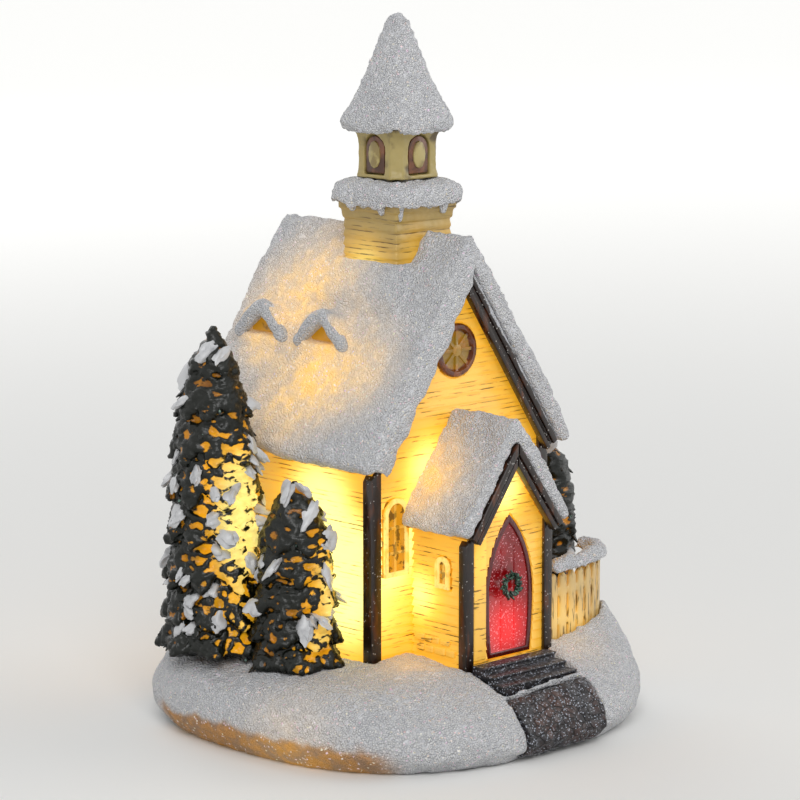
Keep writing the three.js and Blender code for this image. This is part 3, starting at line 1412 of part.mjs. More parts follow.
function porchGroup() {
  const group = new THREE.Group();
  group.position.set(CHURCH_X + PORCH_X, CHURCH_Y, CHURCH_FOOT);
  group.add(part("porch_walls", porchWalls(), paint.wall));
  group.add(part("porch_roof_boards", porchRoofBoards(), paint.timber));
  group.add(part("porch_snow", porchSnow(), paint.snow));
  group.add(part("door", churchDoor(), paint.door));
  group.add(part("door_wreath", doorWreath(), paint.foliage));
  for (const { across, x } of SIDES) {
    const eave = { slope: porchRoof, end: PORCH_SLOPE, drop: PORCH_BARGE_DROP, top: PORCH_BOARD };
    const barge = bargeboard({ ...eave, side: x, face: PORCH_BARGE_FACE, out: -1 });
    const corner = { x: x * HALF_PORCH, y: -PORCH_LENGTH, outX: x, outY: -1 };
    const post = cornerBoard({ ...corner, leg: PORCH_POST_LEG, slope: porchRoof });
    const window = archedWindow(PORCH_WINDOW_WIDTH, PORCH_WINDOW_HEIGHT, [0.5]);
    group.add(part(`porch_${across}_bargeboard`, barge, paint.timber));
    group.add(part(`porch_${across}_post`, post, paint.timber));
    group.add(part(`porch_${across}_window`, onPorchSide(geometryOf(window), x), paint.window));
  }
  return group;
}

function steepleGroup() {
  const group = new THREE.Group();
  group.position.set(CHURCH_X, CHURCH_Y, CHURCH_FOOT);
  group.add(part("steeple_tower", tower(), paint.cream));
  const lantern = new THREE.Group();
  lantern.position.set(0, TOWER_Y, TOWER_TOP + BOND);
  lantern.add(part("steeple_ledge_snow", ledgeSnow(), paint.snow));
  const belfryFoot = LEDGE_HEIGHT + BOND;
  const belfryMesh = part("belfry", belfry(), paint.cream);
  belfryMesh.position.z = belfryFoot;
  lantern.add(belfryMesh);
  for (const [quarter, name] of ["front", "right", "rear", "left"].entries()) {
    const window = part(`belfry_${name}_window`, belfryWindow(quarter), paint.window);
    window.position.z = belfryFoot;
    lantern.add(window);
  }
  const spireMesh = part("steeple_roof", spire(0), paint.timber);
  const capMesh = part("steeple_snow_cap", snowCap(), paint.snow);
  for (const mesh of [spireMesh, capMesh]) {
    mesh.position.z = belfryFoot + BELFRY_HEIGHT + BOND;
    lantern.add(mesh);
  }
  group.add(lantern);
  return group;
}

function moduleGroup() {
  const group = new THREE.Group();
  group.position.set(CHURCH_X, MODULE_Y, MODULE_RECESS);
  group.add(part("module_housing", moduleHousing(), paint.housing));
  group.add(part("module_floor", moduleFloor(), paint.housing));
  group.add(part("battery_door", batteryDoor(), paint.housing));
  group.add(part("coin_cell", coinCell(), paint.metal));
  group.add(part("top_contact", topContact(), paint.metal));
  group.add(part("side_contact", sideContact(), paint.metal));
  group.add(part("circuit_board", circuitBoard(), paint.board));
  group.add(part("led_lamp", ledLamp(), paint.lens));
  group.add(part("switch_body", switchBody(), paint.metal));
  group.add(part("switch_knob", switchKnob(), paint.slider));
  group.add(part("left_module_screw", moduleScrew(-1), paint.metal));
  group.add(part("right_module_screw", moduleScrew(1), paint.metal));
  return group;
}

const lightUpChurch = new THREE.Group();
lightUpChurch.add(baseGroup(), churchGroup(), porchGroup(), steepleGroup(), moduleGroup());

export default lightUpChurch;
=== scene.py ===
"""Dresses the light-up Christmas church: lit resin, glitter snow, painted trim and bushy conifers."""

import json
import math
import random

import bmesh
import bpy
from bpy.props import FloatProperty, FloatVectorProperty, IntProperty, PointerProperty
from bpy.types import Operator, Panel, PropertyGroup
from mathutils import Matrix, Vector, noise
from mathutils.bvhtree import BVHTree


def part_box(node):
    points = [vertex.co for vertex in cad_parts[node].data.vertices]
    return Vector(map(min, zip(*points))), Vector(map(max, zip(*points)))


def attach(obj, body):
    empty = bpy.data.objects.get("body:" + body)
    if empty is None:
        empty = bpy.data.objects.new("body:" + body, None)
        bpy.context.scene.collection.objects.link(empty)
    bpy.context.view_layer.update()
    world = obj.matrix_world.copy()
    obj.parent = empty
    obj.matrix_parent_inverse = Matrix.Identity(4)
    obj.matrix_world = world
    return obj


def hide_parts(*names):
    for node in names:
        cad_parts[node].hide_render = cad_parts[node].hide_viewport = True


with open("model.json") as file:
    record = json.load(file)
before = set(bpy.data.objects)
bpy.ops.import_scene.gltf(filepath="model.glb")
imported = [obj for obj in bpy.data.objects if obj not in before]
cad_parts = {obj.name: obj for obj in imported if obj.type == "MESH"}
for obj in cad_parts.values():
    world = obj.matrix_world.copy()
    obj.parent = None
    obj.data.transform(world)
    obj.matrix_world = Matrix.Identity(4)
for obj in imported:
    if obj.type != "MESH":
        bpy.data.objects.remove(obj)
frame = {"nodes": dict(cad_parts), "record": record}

bl_info = {
    "name": "Light-up Christmas Church",
    "version": (1, 0, 0),
    "blender": (4, 5, 0),
    "location": "View3D > Sidebar > Church",
    "description": "Dresses a packed light-up church with resin, snow, paint and conifers",
    "category": "Object",
}

MM = 0.001
BODY = "house"
BOARD_PITCH = 0.85 * MM  # half a course of the clapboards
CHURCH_X = 5 * MM
STEEPLE_Y = 5 * MM
ROOF_PITCH = math.radians(56.2)
FLAT = math.radians(1)  # faces that turn less than this are one face
CREASE = math.radians(35)  # edges that turn more than this are rounded
SMOOTH = math.radians(42)  # edges that turn less than this are shaded smooth
SLOTS = {part["node"]: part["material_slot"] for part in frame["record"]["subparts"]}
BODIES = frame["record"]["behaviour"]["bodies"]
BODY_OF = {node: body for body, nodes in BODIES.items() for node in nodes}


def tone(code):
    """A colour written as 0xRRGGBB, in the shader's linear values."""
    shares = [(code >> shift & 255) / 255 for shift in (16, 8, 0)]
    return tuple(s / 12.92 if s <= 0.04045 else ((s + 0.055) / 1.055) ** 2.4 for s in shares)


def colour(name, description, code):
    return FloatVectorProperty(
        name=name, description=description, subtype="COLOR", size=3, min=0, max=1, default=tone(code)
    )


def length(name, description, millimetres):
    return FloatProperty(
        name=name, description=description, unit="LENGTH", min=0, precision=5, default=millimetres * MM
    )


def factor(name, description, value, top=1.0):
    return FloatProperty(name=name, description=description, subtype="FACTOR", min=0, max=top, default=value)


class SnowSettings(PropertyGroup):
    colour: colour("Snow", "Paint under the glitter", 0xF2F2F2)
    shade: colour("Shade", "Colour between the grains", 0xBFC1C8)
    glow: colour("Glow", "Snow with light behind it", 0xFFD69A)
    grain: length("Grain", "Size of one grain", 0.42)
    lump: length("Lumps", "Height of the snow's unevenness", 0.3)
    glitter: factor("Glitter", "Share of the grains that glitter", 0.05)


class ResinSettings(PropertyGroup):
    wall: colour("Walls", "Resin of the church and porch", 0xEBC36B)
    light: colour("Light", "Light through the walls", 0xFFBC1C)
    hot: colour("Hot light", "Light where the lamp stands close behind", 0xFFF28C)
    cream: colour("Cream", "Resin of the steeple", 0xA8995F)
    amber: colour("Amber", "Washed resin under the dormers and eaves", 0xB3721C)
    wash: colour("Wash", "Brown paint left in the grooves", 0x3A230B)
    level: factor("Light level", "Strength of the light through the walls", 0.5, 2.0)


class PaintSettings(PropertyGroup):
    timber: colour("Timber", "Bargeboards, posts and corner boards", 0x1C0F09)
    worn: colour("Worn timber", "Where the brown paint is thin", 0x5A2E12)
    door: colour("Door", "Red glitter paint", 0x9E0A14)
    stone: colour("Stone", "Steps and path", 0x2A282C)
    leaf: colour("Leaves", "Wreath", 0x0F2A1B)
    plastic: colour("Plastic", "Light module", 0x17181A)
    bevel: length("Soft edge", "Rounding of cast and painted edges", 0.14)


class TreeSettings(PropertyGroup):
    dark: colour("Dark green", "Glossy paint on the boughs", 0x0B0F08)
    amber: colour("Amber", "Bare resin between the boughs", 0xC47F12)
    dab: colour("Snow dabs", "White paint on the tips", 0xC9CACC)
    bough: length("Bough", "Length of a bough", 3.4)
    curl: length("Curls", "Height of the curls between the boughs", 0.7)
    fullness: length("Fullness", "How far the upper half swells", 1.9)
    seed: IntProperty(name="Seed", description="Picks where the boughs stand", default=7)


class StudioSettings(PropertyGroup):
    floor: colour("Floor", "Floor and backdrop", 0xF1F1EF)
    key: FloatProperty(name="Key light", description="Power of the main light", unit="POWER", default=5.0)
    fill: FloatProperty(name="Fill light", description="Power of the soft light", unit="POWER", default=2.2)
    sky: factor("Sky", "Strength of the even light from all round", 0.42, 2.0)
    lens: FloatProperty(name="Lens", description="Focal length", unit="CAMERA", default=153.45)
    distance: length("Distance", "From the camera to the church", 628.2)


class ChurchSettings(PropertyGroup):
    snow: PointerProperty(name="Snow", description="Snow and glitter", type=SnowSettings)
    resin: PointerProperty(name="Resin", description="Lit resin", type=ResinSettings)
    paint: PointerProperty(name="Paint", description="Trim, door and stone", type=PaintSettings)
    tree: PointerProperty(name="Trees", description="Conifers", type=TreeSettings)
    studio: PointerProperty(name="Studio", description="Light and camera", type=StudioSettings)


def look():
    return bpy.context.scene.lit_church


class Finish:
    """A procedural material in short calls. Its patterns follow Object coordinates, in metres."""

    def __init__(self, name, base, roughness, **sockets):
        self.material = bpy.data.materials.new(name)
        self.material.use_nodes = True
        self.tree = self.material.node_tree
        self.shader = self.tree.nodes["Principled BSDF"]
        self.place = self.node("TexCoord", {}, output="Object")
        self.set("Base Color", base)
        self.set("Roughness", roughness)
        for socket, value in sockets.items():
            self.set(socket.replace("_", " "), value)

    def feed(self, socket, value):
        if isinstance(value, bpy.types.NodeSocket):
            self.tree.links.new(value, socket)
        elif socket.type == "RGBA":
            socket.default_value = (*tuple(value)[:3], 1)
        else:
            socket.default_value = value

    def set(self, name, value):
        self.feed(self.shader.inputs[name], value)

    def node(self, kind, inputs, output=0, **settings):
        made = self.tree.nodes.new("ShaderNode" + kind)
        for name, value in settings.items():
            setattr(made, name, value)
        for name, value in inputs.items():
            self.feed(made.inputs[name], value)
        return made.outputs[output]

    def noise(self, scale, detail=3.0, place=None):
        inputs = {"Vector": place or self.place, "Scale": scale, "Detail": detail}
        return self.node("TexNoise", inputs)

    def cells(self, scale, output=0, place=None, feature="F1"):
        inputs = {"Vector": place or self.place, "Scale": scale}
        return self.node("TexVoronoi", inputs, output, feature=feature)

    def stretched(self, scale):
        return self.node("Mapping", {"Vector": self.place, "Scale": scale})

    def axis(self, index, place=None):
        return self.node("SeparateXYZ", {0: place or self.place}, output=index)

    def calc(self, operation, a, b=0.0, c=0.0):
        return self.node("Math", {0: a, 1: b, 2: c}, operation=operation)

    def times(self, a, b):
        return self.calc("MULTIPLY", a, b)

    def band(self, value, low, high):
        """0 at low, 1 at high, with a soft step between them."""
        inputs = {"Value": value, "From Min": low, "From Max": high}
        return self.node("MapRange", inputs, interpolation_type="SMOOTHSTEP")

    def blend(self, share, a, b):
        return self.node("Mix", {0: share, 6: a, 7: b}, output=2, data_type="RGBA")

    def near(self, place, radius):
        spot = Vector(place) * MM
        away = self.node("VectorMath", {0: self.place, 1: spot}, output=1, operation="DISTANCE")
        return self.band(away, radius * MM, 0.0)

    def lights(self, places):
        """Light at the given places: each is ((x, y, z), radius, strength), in millimetres."""
        total = 0.0
        for place, radius, strength in places:
            total = self.calc("MULTIPLY_ADD", self.near(place, radius), strength, total)
        return total

    def bump(self, height, depth):
        inputs = {"Strength": 1.0, "Distance": depth, "Height": height}
        self.set("Normal", self.node("Bump", inputs))

    def flakes(self, size, share):
        """Scattered glitter: 1 on the given share of cells."""
        chance = self.axis(0, self.cells(1 / size, output=1))
        return self.band(chance, 1 - share, 1 - share + 0.01)


def snow_finish(name, lit=(), bare=()):
    """Granular glitter snow. Light shows through at `lit`, and unpainted resin at `bare`."""
    snow = look().snow
    f = Finish(name, snow.colour, 0.6)
    grains = f.band(f.cells(1 / snow.grain), 0.15, 0.8)
    tint = f.axis(1, f.cells(1 / snow.grain, output=1))
    patches = f.band(f.noise(150, 4), 0.45, 0.8)
    paint = f.blend(f.calc("MULTIPLY_ADD", tint, 0.5, f.times(grains, 0.4)), snow.colour, snow.shade)
    paint = f.blend(f.times(patches, 0.3), paint, snow.shade)
    flake = f.flakes(snow.grain * 0.8, snow.glitter)
    rainbow = f.blend(0.25, (1, 1, 1), f.cells(1.25 / snow.grain, output=1))
    if lit or bare:
        resin = look().resin
        mottle = f.band(f.noise(380, 5), 0.35, 0.65)
        low = f.band(f.calc("MULTIPLY_ADD", f.noise(160, 4), 6 * MM, f.axis(2)), 9.4 * MM, 6.6 * MM)
        uncovered = f.band(f.times(f.lights(bare), low), 0.0, 0.8)
        clear = f.calc("MAXIMUM", f.lights(lit), 0.0)
        light = f.times(clear, f.calc("MULTIPLY_ADD", mottle, 0.35, 0.65))
        paint = f.blend(f.band(light, 0.0, 0.9), paint, snow.glow)
        paint = f.blend(f.times(uncovered, 0.9), paint, f.blend(mottle, tone(0x7A4A24), resin.amber))
        amber = f.times(f.calc("ADD", uncovered, f.band(light, 0.55, 1.0)), mottle)
        f.set("Emission Color", f.blend(f.times(amber, 0.8), snow.glow, resin.light))
        f.set("Emission Strength", f.calc("MULTIPLY_ADD", light, 0.6, f.times(uncovered, 0.09)))
    f.set("Base Color", f.blend(flake, paint, rainbow))
    f.set("Roughness", f.calc("MULTIPLY_ADD", flake, -0.45, 0.66))
    relief = f.calc("MULTIPLY_ADD", grains, -1.0, f.times(tint, 0.5))
    f.bump(relief, snow.grain * 0.85)
    return f.material


def resin_finish(
    name, base, lit=(), level=0.0, boards=True, depth=0.12, streaks=(320, 320, 2400), amber=0.5
):
    """Translucent resin with a brown wash in its grooves and light behind it.

    `level` is its even glow, `boards` puts the wash in the clapboards' grooves, `depth` is the relief in
    millimetres, `streaks` the wash's scale along X, Y and Z, and `amber` the share of amber blotches.
    """
    resin = look().resin
    f = Finish(name, base, 0.36, Coat_Weight=0.2, Coat_Roughness=0.3)
    blotch = f.noise(110, 4)
    grain = f.noise(1.0, 3, f.stretched(streaks))
    dirt = f.times(f.band(grain, 0.55, 0.68), 0.8)
    if boards:
        course = f.calc("FRACT", f.calc("DIVIDE", f.axis(2), BOARD_PITCH))
        groove = f.calc("SUBTRACT", 1.0, f.band(course, 0.05, 0.4))
        smear = f.band(f.noise(1.0, 3, f.stretched((90, 90, 300))), 0.4, 0.62)
        dirt = f.times(f.times(groove, f.band(grain, 0.42, 0.6)), smear)
    paint = f.blend(f.times(blotch, amber), base, resin.amber)
    f.set("Base Color", f.blend(dirt, paint, resin.wash))
    glow = f.lights(lit)
    strength = f.calc("ADD", glow, f.calc("MULTIPLY_ADD", blotch, level * 0.8, level * 0.6))
    f.set("Emission Color", f.blend(f.band(glow, 0.15, 1.0), resin.light, resin.hot) if lit else resin.light)
    f.set("Emission Strength", f.times(strength, f.calc("MULTIPLY_ADD", dirt, -0.85, 1.0)))
    f.bump(f.calc("MULTIPLY_ADD", dirt, -0.7, f.times(blotch, 0.6)), depth * MM)
    return f.material


def timber_finish(name, frost=(0.0, 0.0)):
    """Glossy dark brown paint, worn thin in streaks.

    `frost` is how far out from the roof's middle plane, in millimetres, snow starts and is full.
    """
    paint = look().paint
    snow = look().snow
    f = Finish(name, paint.timber, 0.28, Coat_Weight=0.25, Coat_Roughness=0.15)
    streak = f.band(f.noise(1.0, 4, f.stretched((700, 700, 160))), 0.5, 0.75)
    base = f.blend(streak, paint.timber, paint.worn)
    speck = f.flakes(0.22 * MM, 0.02)
    base = f.blend(speck, base, (0.42, 0.40, 0.38))
    if frost[1] > frost[0]:
        aside = f.calc("ABSOLUTE", f.calc("SUBTRACT", f.axis(0), CHURCH_X))
        off = f.calc("MULTIPLY_ADD", aside, math.sin(ROOF_PITCH), f.times(f.axis(2), math.cos(ROOF_PITCH)))
        cover = f.calc("MULTIPLY_ADD", f.noise(190, 4), 1.3, f.band(off, frost[0] * MM, frost[1] * MM))
        cover = f.band(cover, 1.05, 1.2)
        grains = f.band(f.cells(1 / snow.grain), 0.1, 0.7)
        base = f.blend(cover, base, f.blend(grains, snow.colour, snow.shade))
        f.set("Roughness", f.calc("MULTIPLY_ADD", cover, 0.4, 0.24))
        f.bump(f.times(cover, f.calc("SUBTRACT", 1.4, grains)), 0.4 * MM)
    else:
        f.bump(f.noise(600, 3), 0.12 * MM)
    f.set("Base Color", base)
    return f.material


def stone_finish(name, carved):
    """Dark grey stone paint with glitter, carved into small leafy cobbles on the path."""
    paint = look().paint
    f = Finish(name, paint.stone, 0.42)
    edges = f.cells(460 if carved else 260, feature="DISTANCE_TO_EDGE", place=f.stretched((1, 1, 1.4)))
    crack = f.band(edges, 0.12, 0.02)
    tint = f.band(f.noise(240, 4), 0.4, 0.7)
    base = f.blend(f.times(tint, 0.45 if carved else 0.1), paint.stone, paint.worn)
    base = f.blend(f.times(crack, 0.8), base, (0.004, 0.004, 0.005))
    flake = f.flakes(0.2 * MM, 0.1)
    f.set("Base Color", f.blend(flake, base, (0.40, 0.43, 0.50)))
    f.set("Roughness", f.calc("MULTIPLY_ADD", flake, -0.25, 0.45))
    f.bump(f.calc("MULTIPLY_ADD", crack, -0.8 if carved else -0.15, f.noise(1400, 3)), 0.3 * MM)
    return f.material


def door_finish(name, face):
    """Red glitter paint, lit low down, inside a dark rim that stands in front of `face`."""
    paint = look().paint
    f = Finish(name, paint.door, 0.25, Coat_Weight=0.6, Coat_Roughness=0.1)
    rim = f.band(f.axis(1), face, face - 0.12 * MM)
    flake = f.flakes(0.2 * MM, 0.1)
    light = f.calc("MULTIPLY_ADD", f.near((3.4, -25, 20), 9), 0.8, 0.06)
    red = f.blend(f.band(f.noise(220, 4), 0.3, 0.7), paint.door, tone(0x6B060D))
    red = f.blend(flake, red, (0.75, 0.30, 0.34))
    f.set("Base Color", f.blend(rim, red, tone(0x5A0509)))
    f.set("Emission Color", tone(0xFF1010))
    f.set("Emission Strength", f.times(light, f.calc("SUBTRACT", 1.0, rim)))
    f.bump(f.calc("ADD", flake, f.noise(800, 2)), 0.12 * MM)
    return f.material


def window_finish(name, level, middle, halves):
    """Lit resin windows: pale frames and bars, and amber panes behind the walls' faces, washed brown."""
    resin = look().resin
    f = Finish(name, resin.wall, 0.3, Coat_Weight=0.3)
    out = [f.calc("ABSOLUTE", f.calc("SUBTRACT", f.axis(i), middle[i] * MM)) for i in (0, 1)]
    proud = [f.calc("SUBTRACT", away, half * MM) for away, half in zip(out, halves)]
    pane = f.band(f.calc("MAXIMUM", *proud), 0.25 * MM, -0.15 * MM)
    # Painted light, not paint: where the wash pattern is high, the glow through frames and bars is amber
    # instead of hot yellow; it changes only the emission colour
    wash = f.band(f.noise(1.0, 4, f.stretched((500, 500, 300))), 0.46, 0.6)
    stain = f.times(f.band(f.noise(700, 3), 0.52, 0.6), f.calc("MULTIPLY_ADD", pane, 0.6, 0.2))
    base = f.blend(pane, resin.wall, resin.amber)
    f.set("Base Color", f.blend(stain, base, resin.wash))
    f.set("Emission Color", f.blend(f.calc("MAXIMUM", pane, wash), resin.hot, resin.light))
    shade = f.calc("MULTIPLY_ADD", pane, -0.35, f.calc("MULTIPLY_ADD", stain, -0.6, 1.0))
    f.set("Emission Strength", f.times(shade, level))
    f.bump(f.noise(500, 3), 0.2 * MM)
    return f.material


def rosette_finish(name, centre, face):
    """The round window: a red-brown ring, olive petals and light spokes."""
    resin = look().resin
    f = Finish(name, resin.amber, 0.25, Coat_Weight=0.5)
    flat = f.node("Mapping", {"Vector": f.place, "Scale": (1, 0, 1)})
    away = f.node("VectorMath", {0: flat, 1: (centre.x, 0, centre.z)}, output=1, operation="DISTANCE")
    ring = f.band(away, 3.35 * MM, 3.75 * MM)
    proud = f.band(f.axis(1), face + 0.35 * MM, face)
    wear = f.band(f.noise(500, 4), 0.4, 0.65)
    petals = f.blend(wear, tone(0x6E5A1E), tone(0x8F5A14))
    base = f.blend(proud, petals, tone(0xD9A94A))
    f.set("Base Color", f.blend(ring, base, f.blend(wear, tone(0x5E2A12), tone(0x8A4A1C))))
    f.set("Emission Color", resin.light)
    f.set("Emission Strength", f.times(f.calc("SUBTRACT", 1.0, ring), 0.14))
    f.bump(wear, 0.15 * MM)
    return f.material


def belfry_window_finish(name, reach):
    """A brown arched board with a cream oval, which is further than `reach` from the steeple's axis."""
    f = Finish(name, tone(0x4A2713), 0.35, Coat_Weight=0.3)
    x = f.calc("ABSOLUTE", f.calc("SUBTRACT", f.axis(0), CHURCH_X))
    y = f.calc("ABSOLUTE", f.calc("SUBTRACT", f.axis(1), STEEPLE_Y))
    oval = f.band(f.calc("MAXIMUM", x, y), reach, reach + 0.05 * MM)
    wear = f.band(f.noise(420, 4), 0.42, 0.6)
    brown = f.blend(wear, tone(0x4A2713), tone(0x7A4A2C))
    f.set("Base Color", f.blend(oval, brown, f.blend(wear, tone(0xB5A468), tone(0x8E7A45))))
    f.bump(f.noise(500, 3), 0.2 * MM)
    return f.material


def bark_finish(name, lit):
    """Conifer resin: amber and lit in the hollows, glossy dark green where the relief stands up."""
    tree = look().tree
    resin = look().resin
    f = Finish(name, tree.dark, 0.3, Coat_Weight=0.12, Coat_Roughness=0.1, Specular_IOR_Level=0.3)
    relief = f.node("Attribute", {}, output="Fac", attribute_name="relief")
    glow = f.lights(lit)
    strands = f.noise(1.0, 4, f.stretched((420, 420, 900)))
    raised = f.calc("MULTIPLY_ADD", glow, -0.75, f.calc("MULTIPLY_ADD", strands, 1.6, relief))
    dark = f.band(raised, 0.55, 0.8)
    amber = f.blend(f.band(f.noise(260, 3), 0.4, 0.7), tree.amber, tone(0x6E3E0A))
    f.set("Base Color", f.blend(dark, amber, tree.dark))
    f.set("Emission Color", f.blend(f.band(glow, 0.6, 1.3), resin.light, resin.hot))
    shine = f.times(f.calc("MULTIPLY_ADD", glow, 0.75, 0.04), f.calc("SUBTRACT", 1.0, dark))
    f.set("Emission Strength", f.times(shine, f.calc("MULTIPLY_ADD", strands, -1.0, 1.35)))
    f.bump(f.calc("ADD", strands, f.noise(900, 3)), 0.25 * MM)
    return f.material


def bough_finish(name):
    """Glossy dark green paint on fine needles, with a few pale flecks."""
    tree = look().tree
    f = Finish(name, tree.dark, 0.32, Coat_Weight=0.12, Coat_Roughness=0.1, Specular_IOR_Level=0.3)
    needles = f.noise(1.0, 3, f.stretched((1500, 1500, 500)))
    tint = f.blend(f.band(f.noise(160, 3), 0.5, 0.7), tree.dark, tone(0x23180A))
    f.set("Base Color", f.blend(f.flakes(0.4 * MM, 0.03), tint, tone(0x5F7A6E)))
    f.bump(needles, 0.35 * MM)
    return f.material


def dab_finish(name):
    """Thick white paint, greyer in patches."""
    tree = look().tree
    f = Finish(name, tree.dab, 0.42, Coat_Weight=0.2)
    f.set("Base Color", f.blend(f.band(f.noise(380, 3), 0.5, 0.8), tree.dab, tone(0x8B8D92)))
    f.bump(f.noise(700, 3), 0.15 * MM)
    return f.material


def leaf_finish(name):
    """Glossy green paint with glitter."""
    leaf = look().paint.leaf
    f = Finish(name, leaf, 0.3, Coat_Weight=0.4)
    f.set("Base Color", f.blend(f.flakes(0.25 * MM, 0.12), leaf, tone(0x4F8F70)))
    f.bump(f.noise(1500, 2), 0.1 * MM)
    return f.material


def plastic_finish(name, base):
    """Moulded plastic with a fine spark-eroded texture."""
    f = Finish(name, base, 0.45)
    f.set("Roughness", f.calc("MULTIPLY_ADD", f.noise(900, 2), 0.15, 0.38))
    f.bump(f.noise(5200, 2), 0.03 * MM)
    return f.material


def metal_finish(name, base, roughness):
    """Plated metal with fine scratches."""
    f = Finish(name, base, roughness, Metallic=1.0)
    scratch = f.noise(1.0, 3, f.stretched((4000, 300, 300)))
    f.set("Roughness", f.calc("MULTIPLY_ADD", scratch, 0.2, roughness - 0.1))
    f.bump(scratch, 0.01 * MM)
    return f.material


def board_finish(name):
    """A circuit board's solder mask, darker over its tracks."""
    mask = tone(0x1F5C33)
    f = Finish(name, mask, 0.3)
    tracks = f.node("TexBrick", {"Vector": f.place, "Scale": 260.0}, output="Fac")
    f.set("Base Color", f.blend(tracks, mask, tone(0x123F22)))
    f.bump(tracks, 0.04 * MM)
    return f.material


def lens_finish(name):
    """The lamp's clear lens with its warm glow."""
    f = Finish(name, tone(0xFFF0CC), 0.08, Transmission_Weight=0.5, IOR=1.5)
    f.set("Emission Color", look().resin.hot)
    f.set("Emission Strength", f.calc("MULTIPLY_ADD", f.band(f.axis(2), 9 * MM, 16 * MM), 1.6, 0.4))
    return f.material


def piece_from(shape, name, finish, body=BODY, replaced=()):
    """Makes a bmesh, in metres and in its place, a finished piece that rides on a body."""
    mesh = bpy.data.meshes.new(name)
    shape.to_mesh(mesh)
    shape.free()
    mesh.shade_smooth()
    mesh.set_sharp_from_angle(angle=SMOOTH)
    piece = bpy.data.objects.new(name, mesh)
    bpy.context.scene.collection.objects.link(piece)
    mesh.materials.append(finish)
    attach(piece, body)
    if replaced:
        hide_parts(*replaced)
    return piece


def copy_of(node):
    """A merged copy of a CAD node's mesh."""
    shape = bmesh.new()
    shape.from_mesh(frame["nodes"][node].data)
    bmesh.ops.remove_doubles(shape, verts=shape.verts, dist=1e-6)
    return shape


def paint_node(node, finish):
    """Gives a CAD node that keeps its own mesh a finish."""
    for slot in frame["nodes"][node].material_slots:
        slot.material = finish


def softened(node, finish, width=None):
    """A CAD node again with its sharp edges rounded, as cast and painted edges are."""
    shape = copy_of(node)
    bmesh.ops.dissolve_limit(
        shape, angle_limit=FLAT, verts=shape.verts, edges=shape.edges, delimit={"NORMAL"}
    )
    sharp = [edge for edge in shape.edges if edge.is_manifold and edge.calc_face_angle(0) > CREASE]
    bmesh.ops.bevel(
        shape,
        geom=sharp,
        offset=width or look().paint.bevel,
        offset_type="OFFSET",
        segments=2,
        profile=0.5,
        affect="EDGES",
        clamp_overlap=True,
        material=-1,
    )
    return piece_from(shape, node + "_finished", finish, BODY_OF[node], [node])


def melt(piece, voxel, rounding):
    """Remeshes a piece into one skin, in millimetres, and smooths it."""
    finish = piece.data.materials[0]
    remesh = piece.modifiers.new("Cast", "REMESH")
    remesh.mode = "VOXEL"
    remesh.voxel_size = voxel * MM
    remesh.use_smooth_shade = True
    ready = piece.evaluated_get(bpy.context.evaluated_depsgraph_get())
    mesh = bpy.data.meshes.new_from_object(ready)
    piece.modifiers.clear()
    shape = bmesh.new()
    shape.from_mesh(mesh)
    for _ in range(rounding):
        bmesh.ops.smooth_vert(
            shape, verts=shape.verts, factor=0.5, use_axis_x=True, use_axis_y=True, use_axis_z=True
        )
    shape.to_mesh(mesh)
    shape.free()
    mesh.materials.clear()
    mesh.materials.append(finish)
    piece.data = mesh


def cast_copy(node, finish, voxel, rounding=2, relief=0.0, size=1.0, ridged=False):
    """A CAD node again as a soft casting: remeshed, smoothed and given relief, all in millimetres."""
    shape = copy_of(node)
    piece = piece_from(shape, node + "_cast", finish, BODY_OF[node], [node])
    melt(piece, voxel, rounding)
    mesh = piece.data
    shape = bmesh.new()
    shape.from_mesh(mesh)
    shape.normal_update()
    heights = []
    for vert in shape.verts:
        place = vert.co / (size * MM)
        height = noise.noise(place) + 0.5 * noise.noise(place * 2.3)
        if ridged:
            height = 1 - 2 * abs(height)
        heights.append(height)
        vert.co += vert.normal * (height * relief * MM)
    shape.to_mesh(mesh)
    shape.free()
    attribute = mesh.attributes.new("relief", "FLOAT", "POINT")
    attribute.data.foreach_set("value", heights)
    return piece


def frame_on(place, outward, tilt, roll):
    """A matrix whose X points outward and down by tilt, at a place."""
    along = Vector((outward.x, outward.y, 0)).normalized()
    turn = Matrix.Rotation(math.atan2(along.y, along.x), 4, "Z")
    lean = Matrix.Rotation(tilt, 4, "Y") @ Matrix.Rotation(roll, 4, "X")
    return Matrix.Translation(place) @ turn @ lean


def add_leaf(shape, matrix, long, wide, thick, droop):
    """A small leaf form along X that tapers and droops to its tip."""
    made = bmesh.ops.create_uvsphere(shape, u_segments=6, v_segments=5, radius=1)
    for vert in made["verts"]:
        share = (vert.co.x + 1) / 2
        taper = 1 - 0.65 * share
        local = Vector((share * long, vert.co.y * wide * taper, vert.co.z * thick * taper - droop * share**2))
        vert.co = matrix @ local


def add_dab(shape, matrix, size, rng):
    """A dab of thick white paint: a lumpy, flattened blob."""
    made = bmesh.ops.create_icosphere(shape, subdivisions=3, radius=1)
    shift = Vector((rng.uniform(0, 50), rng.uniform(0, 50), rng.uniform(0, 50)))
    for vert in made["verts"]:
        swell = 1 + 0.7 * noise.noise(vert.co * 1.3 + shift)
        vert.co = matrix @ (Vector((vert.co.x * size.x, vert.co.y * size.y, vert.co.z * size.z)) * swell)


